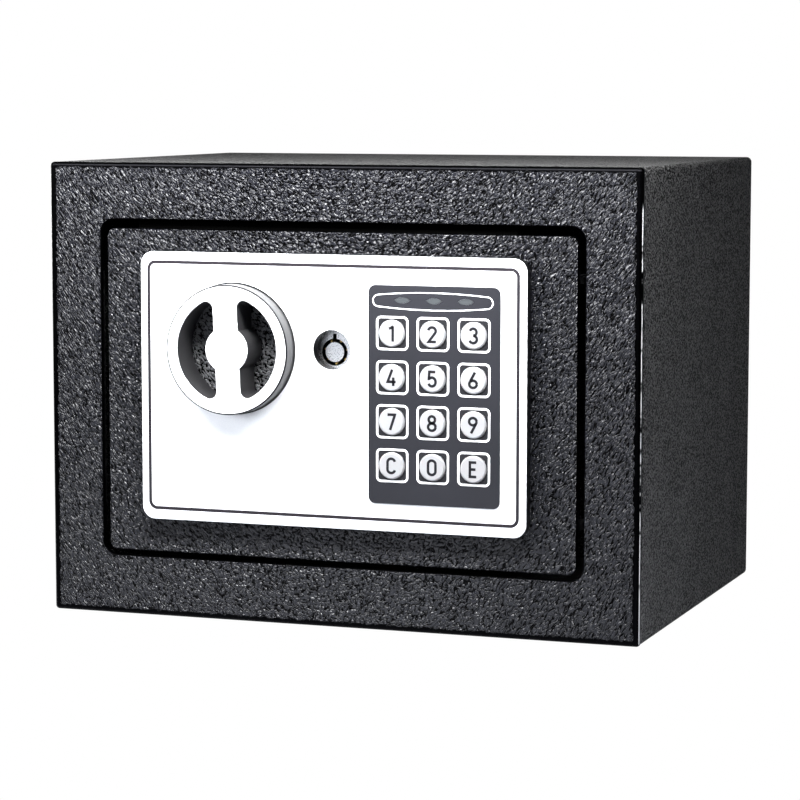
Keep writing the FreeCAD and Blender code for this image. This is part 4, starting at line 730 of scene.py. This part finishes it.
lock_pins()
fascia_line()
key_frames()
lights_outline()
key_digits()


# ---------------------------------------------------------------- stage


def white_to_camera(holder, output, light, seen, **settings):
    """Lights the scene by one kind of node, and shows the camera another in plain white."""
    holder.use_nodes = True
    tree = holder.node_tree
    tree.nodes.clear()
    path = tree.nodes.new("ShaderNodeLightPath")
    first = tree.nodes.new(light)
    second = tree.nodes.new(seen)
    for socket, value in settings.items():
        first.inputs[socket].default_value = value
    second.inputs["Color"].default_value = (1, 1, 1, 1)
    second.inputs["Strength"].default_value = 1.0
    mixed = tree.nodes.new("ShaderNodeMixShader")
    out = tree.nodes.new(output)
    tree.links.new(path.outputs["Is Camera Ray"], mixed.inputs[0])
    tree.links.new(first.outputs[0], mixed.inputs[1])
    tree.links.new(second.outputs[0], mixed.inputs[2])
    tree.links.new(mixed.outputs[0], out.inputs["Surface"])


def studio():
    """A pale floor and a white surround."""
    mesh = bpy.data.meshes.new("floor")
    reach = 6.0
    corners = [(-reach, -reach, 0), (reach, -reach, 0), (reach, reach, 0), (-reach, reach, 0)]
    mesh.from_pydata(corners, [], [(0, 1, 2, 3)])
    floor = bpy.data.objects.new("floor", mesh)
    bpy.context.scene.collection.objects.link(floor)
    material = bpy.data.materials.new("floor_paper")
    white_to_camera(material, "ShaderNodeOutputMaterial", "ShaderNodeBsdfDiffuse",
                    "ShaderNodeEmission", Color=(0.4, 0.41, 0.44, 1))
    mesh.materials.append(material)
    world = bpy.data.worlds.new("studio")
    bpy.context.scene.world = world
    white_to_camera(world, "ShaderNodeOutputWorld", "ShaderNodeBackground",
                    "ShaderNodeBackground", Color=(0.9, 0.93, 1.0, 1), Strength=0.08)


def soft_light(name, place, target, width, height, watts, colour=(1, 1, 1)):
    """A rectangular soft light that faces a target."""
    light = bpy.data.lights.new(name, "AREA")
    light.shape = "RECTANGLE"
    light.size = width
    light.size_y = height
    light.energy = watts
    light.color = colour
    thing = bpy.data.objects.new(name, light)
    bpy.context.scene.collection.objects.link(thing)
    thing.visible_camera = False
    thing.location = place
    thing.rotation_euler = (Vector(target) - Vector(place)).to_track_quat("-Z", "Y").to_euler()


def lights():
    """Soft lights round the safe, aimed at its front, brow, top, right side and back."""
    middle = (0.0, -0.085, 0.085)
    soft_light("key_light", (-1.3, -1.1, 0.5), middle, 0.4, 0.4, 8)
    soft_light("front_light", (-0.75, -1.9, 0.55), middle, 1.3, 0.6, 13, (0.88, 0.93, 1.0))
    soft_light("brow_light", (0.0, -0.2, 0.26), (0.0, -0.085, 0.16), 0.4, 0.05, 4.6)
    soft_light("top_light", (0.1, 0.5, 1.3), (0.0, 0.0, 0.17), 1.0, 0.8, 0.6)
    soft_light("right_light", (1.6, -0.05, 0.45), (0.115, 0.0, 0.085), 0.7, 1.1, 2.8)
    soft_light("back_light", (-0.9, 1.5, 0.09), (0.0, 0.085, 0.085), 1.0, 0.16, 7)


def camera():
    """The camera, at the place solved for the reference view."""
    place = Vector((0.37563, -1.06465, 0.197))
    azimuth, elevation, roll = (math.radians(a) for a in (19.704, 6.134, 0.036))
    back = Vector((math.sin(azimuth) * math.cos(elevation),
                   -math.cos(azimuth) * math.cos(elevation), math.sin(elevation)))
    data = bpy.data.cameras.new("camera")
    data.sensor_width = 36
    data.lens = 130.03
    data.clip_start = 0.01
    thing = bpy.data.objects.new("camera", data)
    bpy.context.scene.collection.objects.link(thing)
    turn = back.to_track_quat("Z", "Y").to_matrix().to_4x4()
    thing.matrix_world = Matrix.Translation(place) @ turn @ Matrix.Rotation(roll, 4, "Z")
    bpy.context.scene.camera = thing


studio()
lights()
camera()
bpy.context.scene.view_settings.view_transform = "Standard"
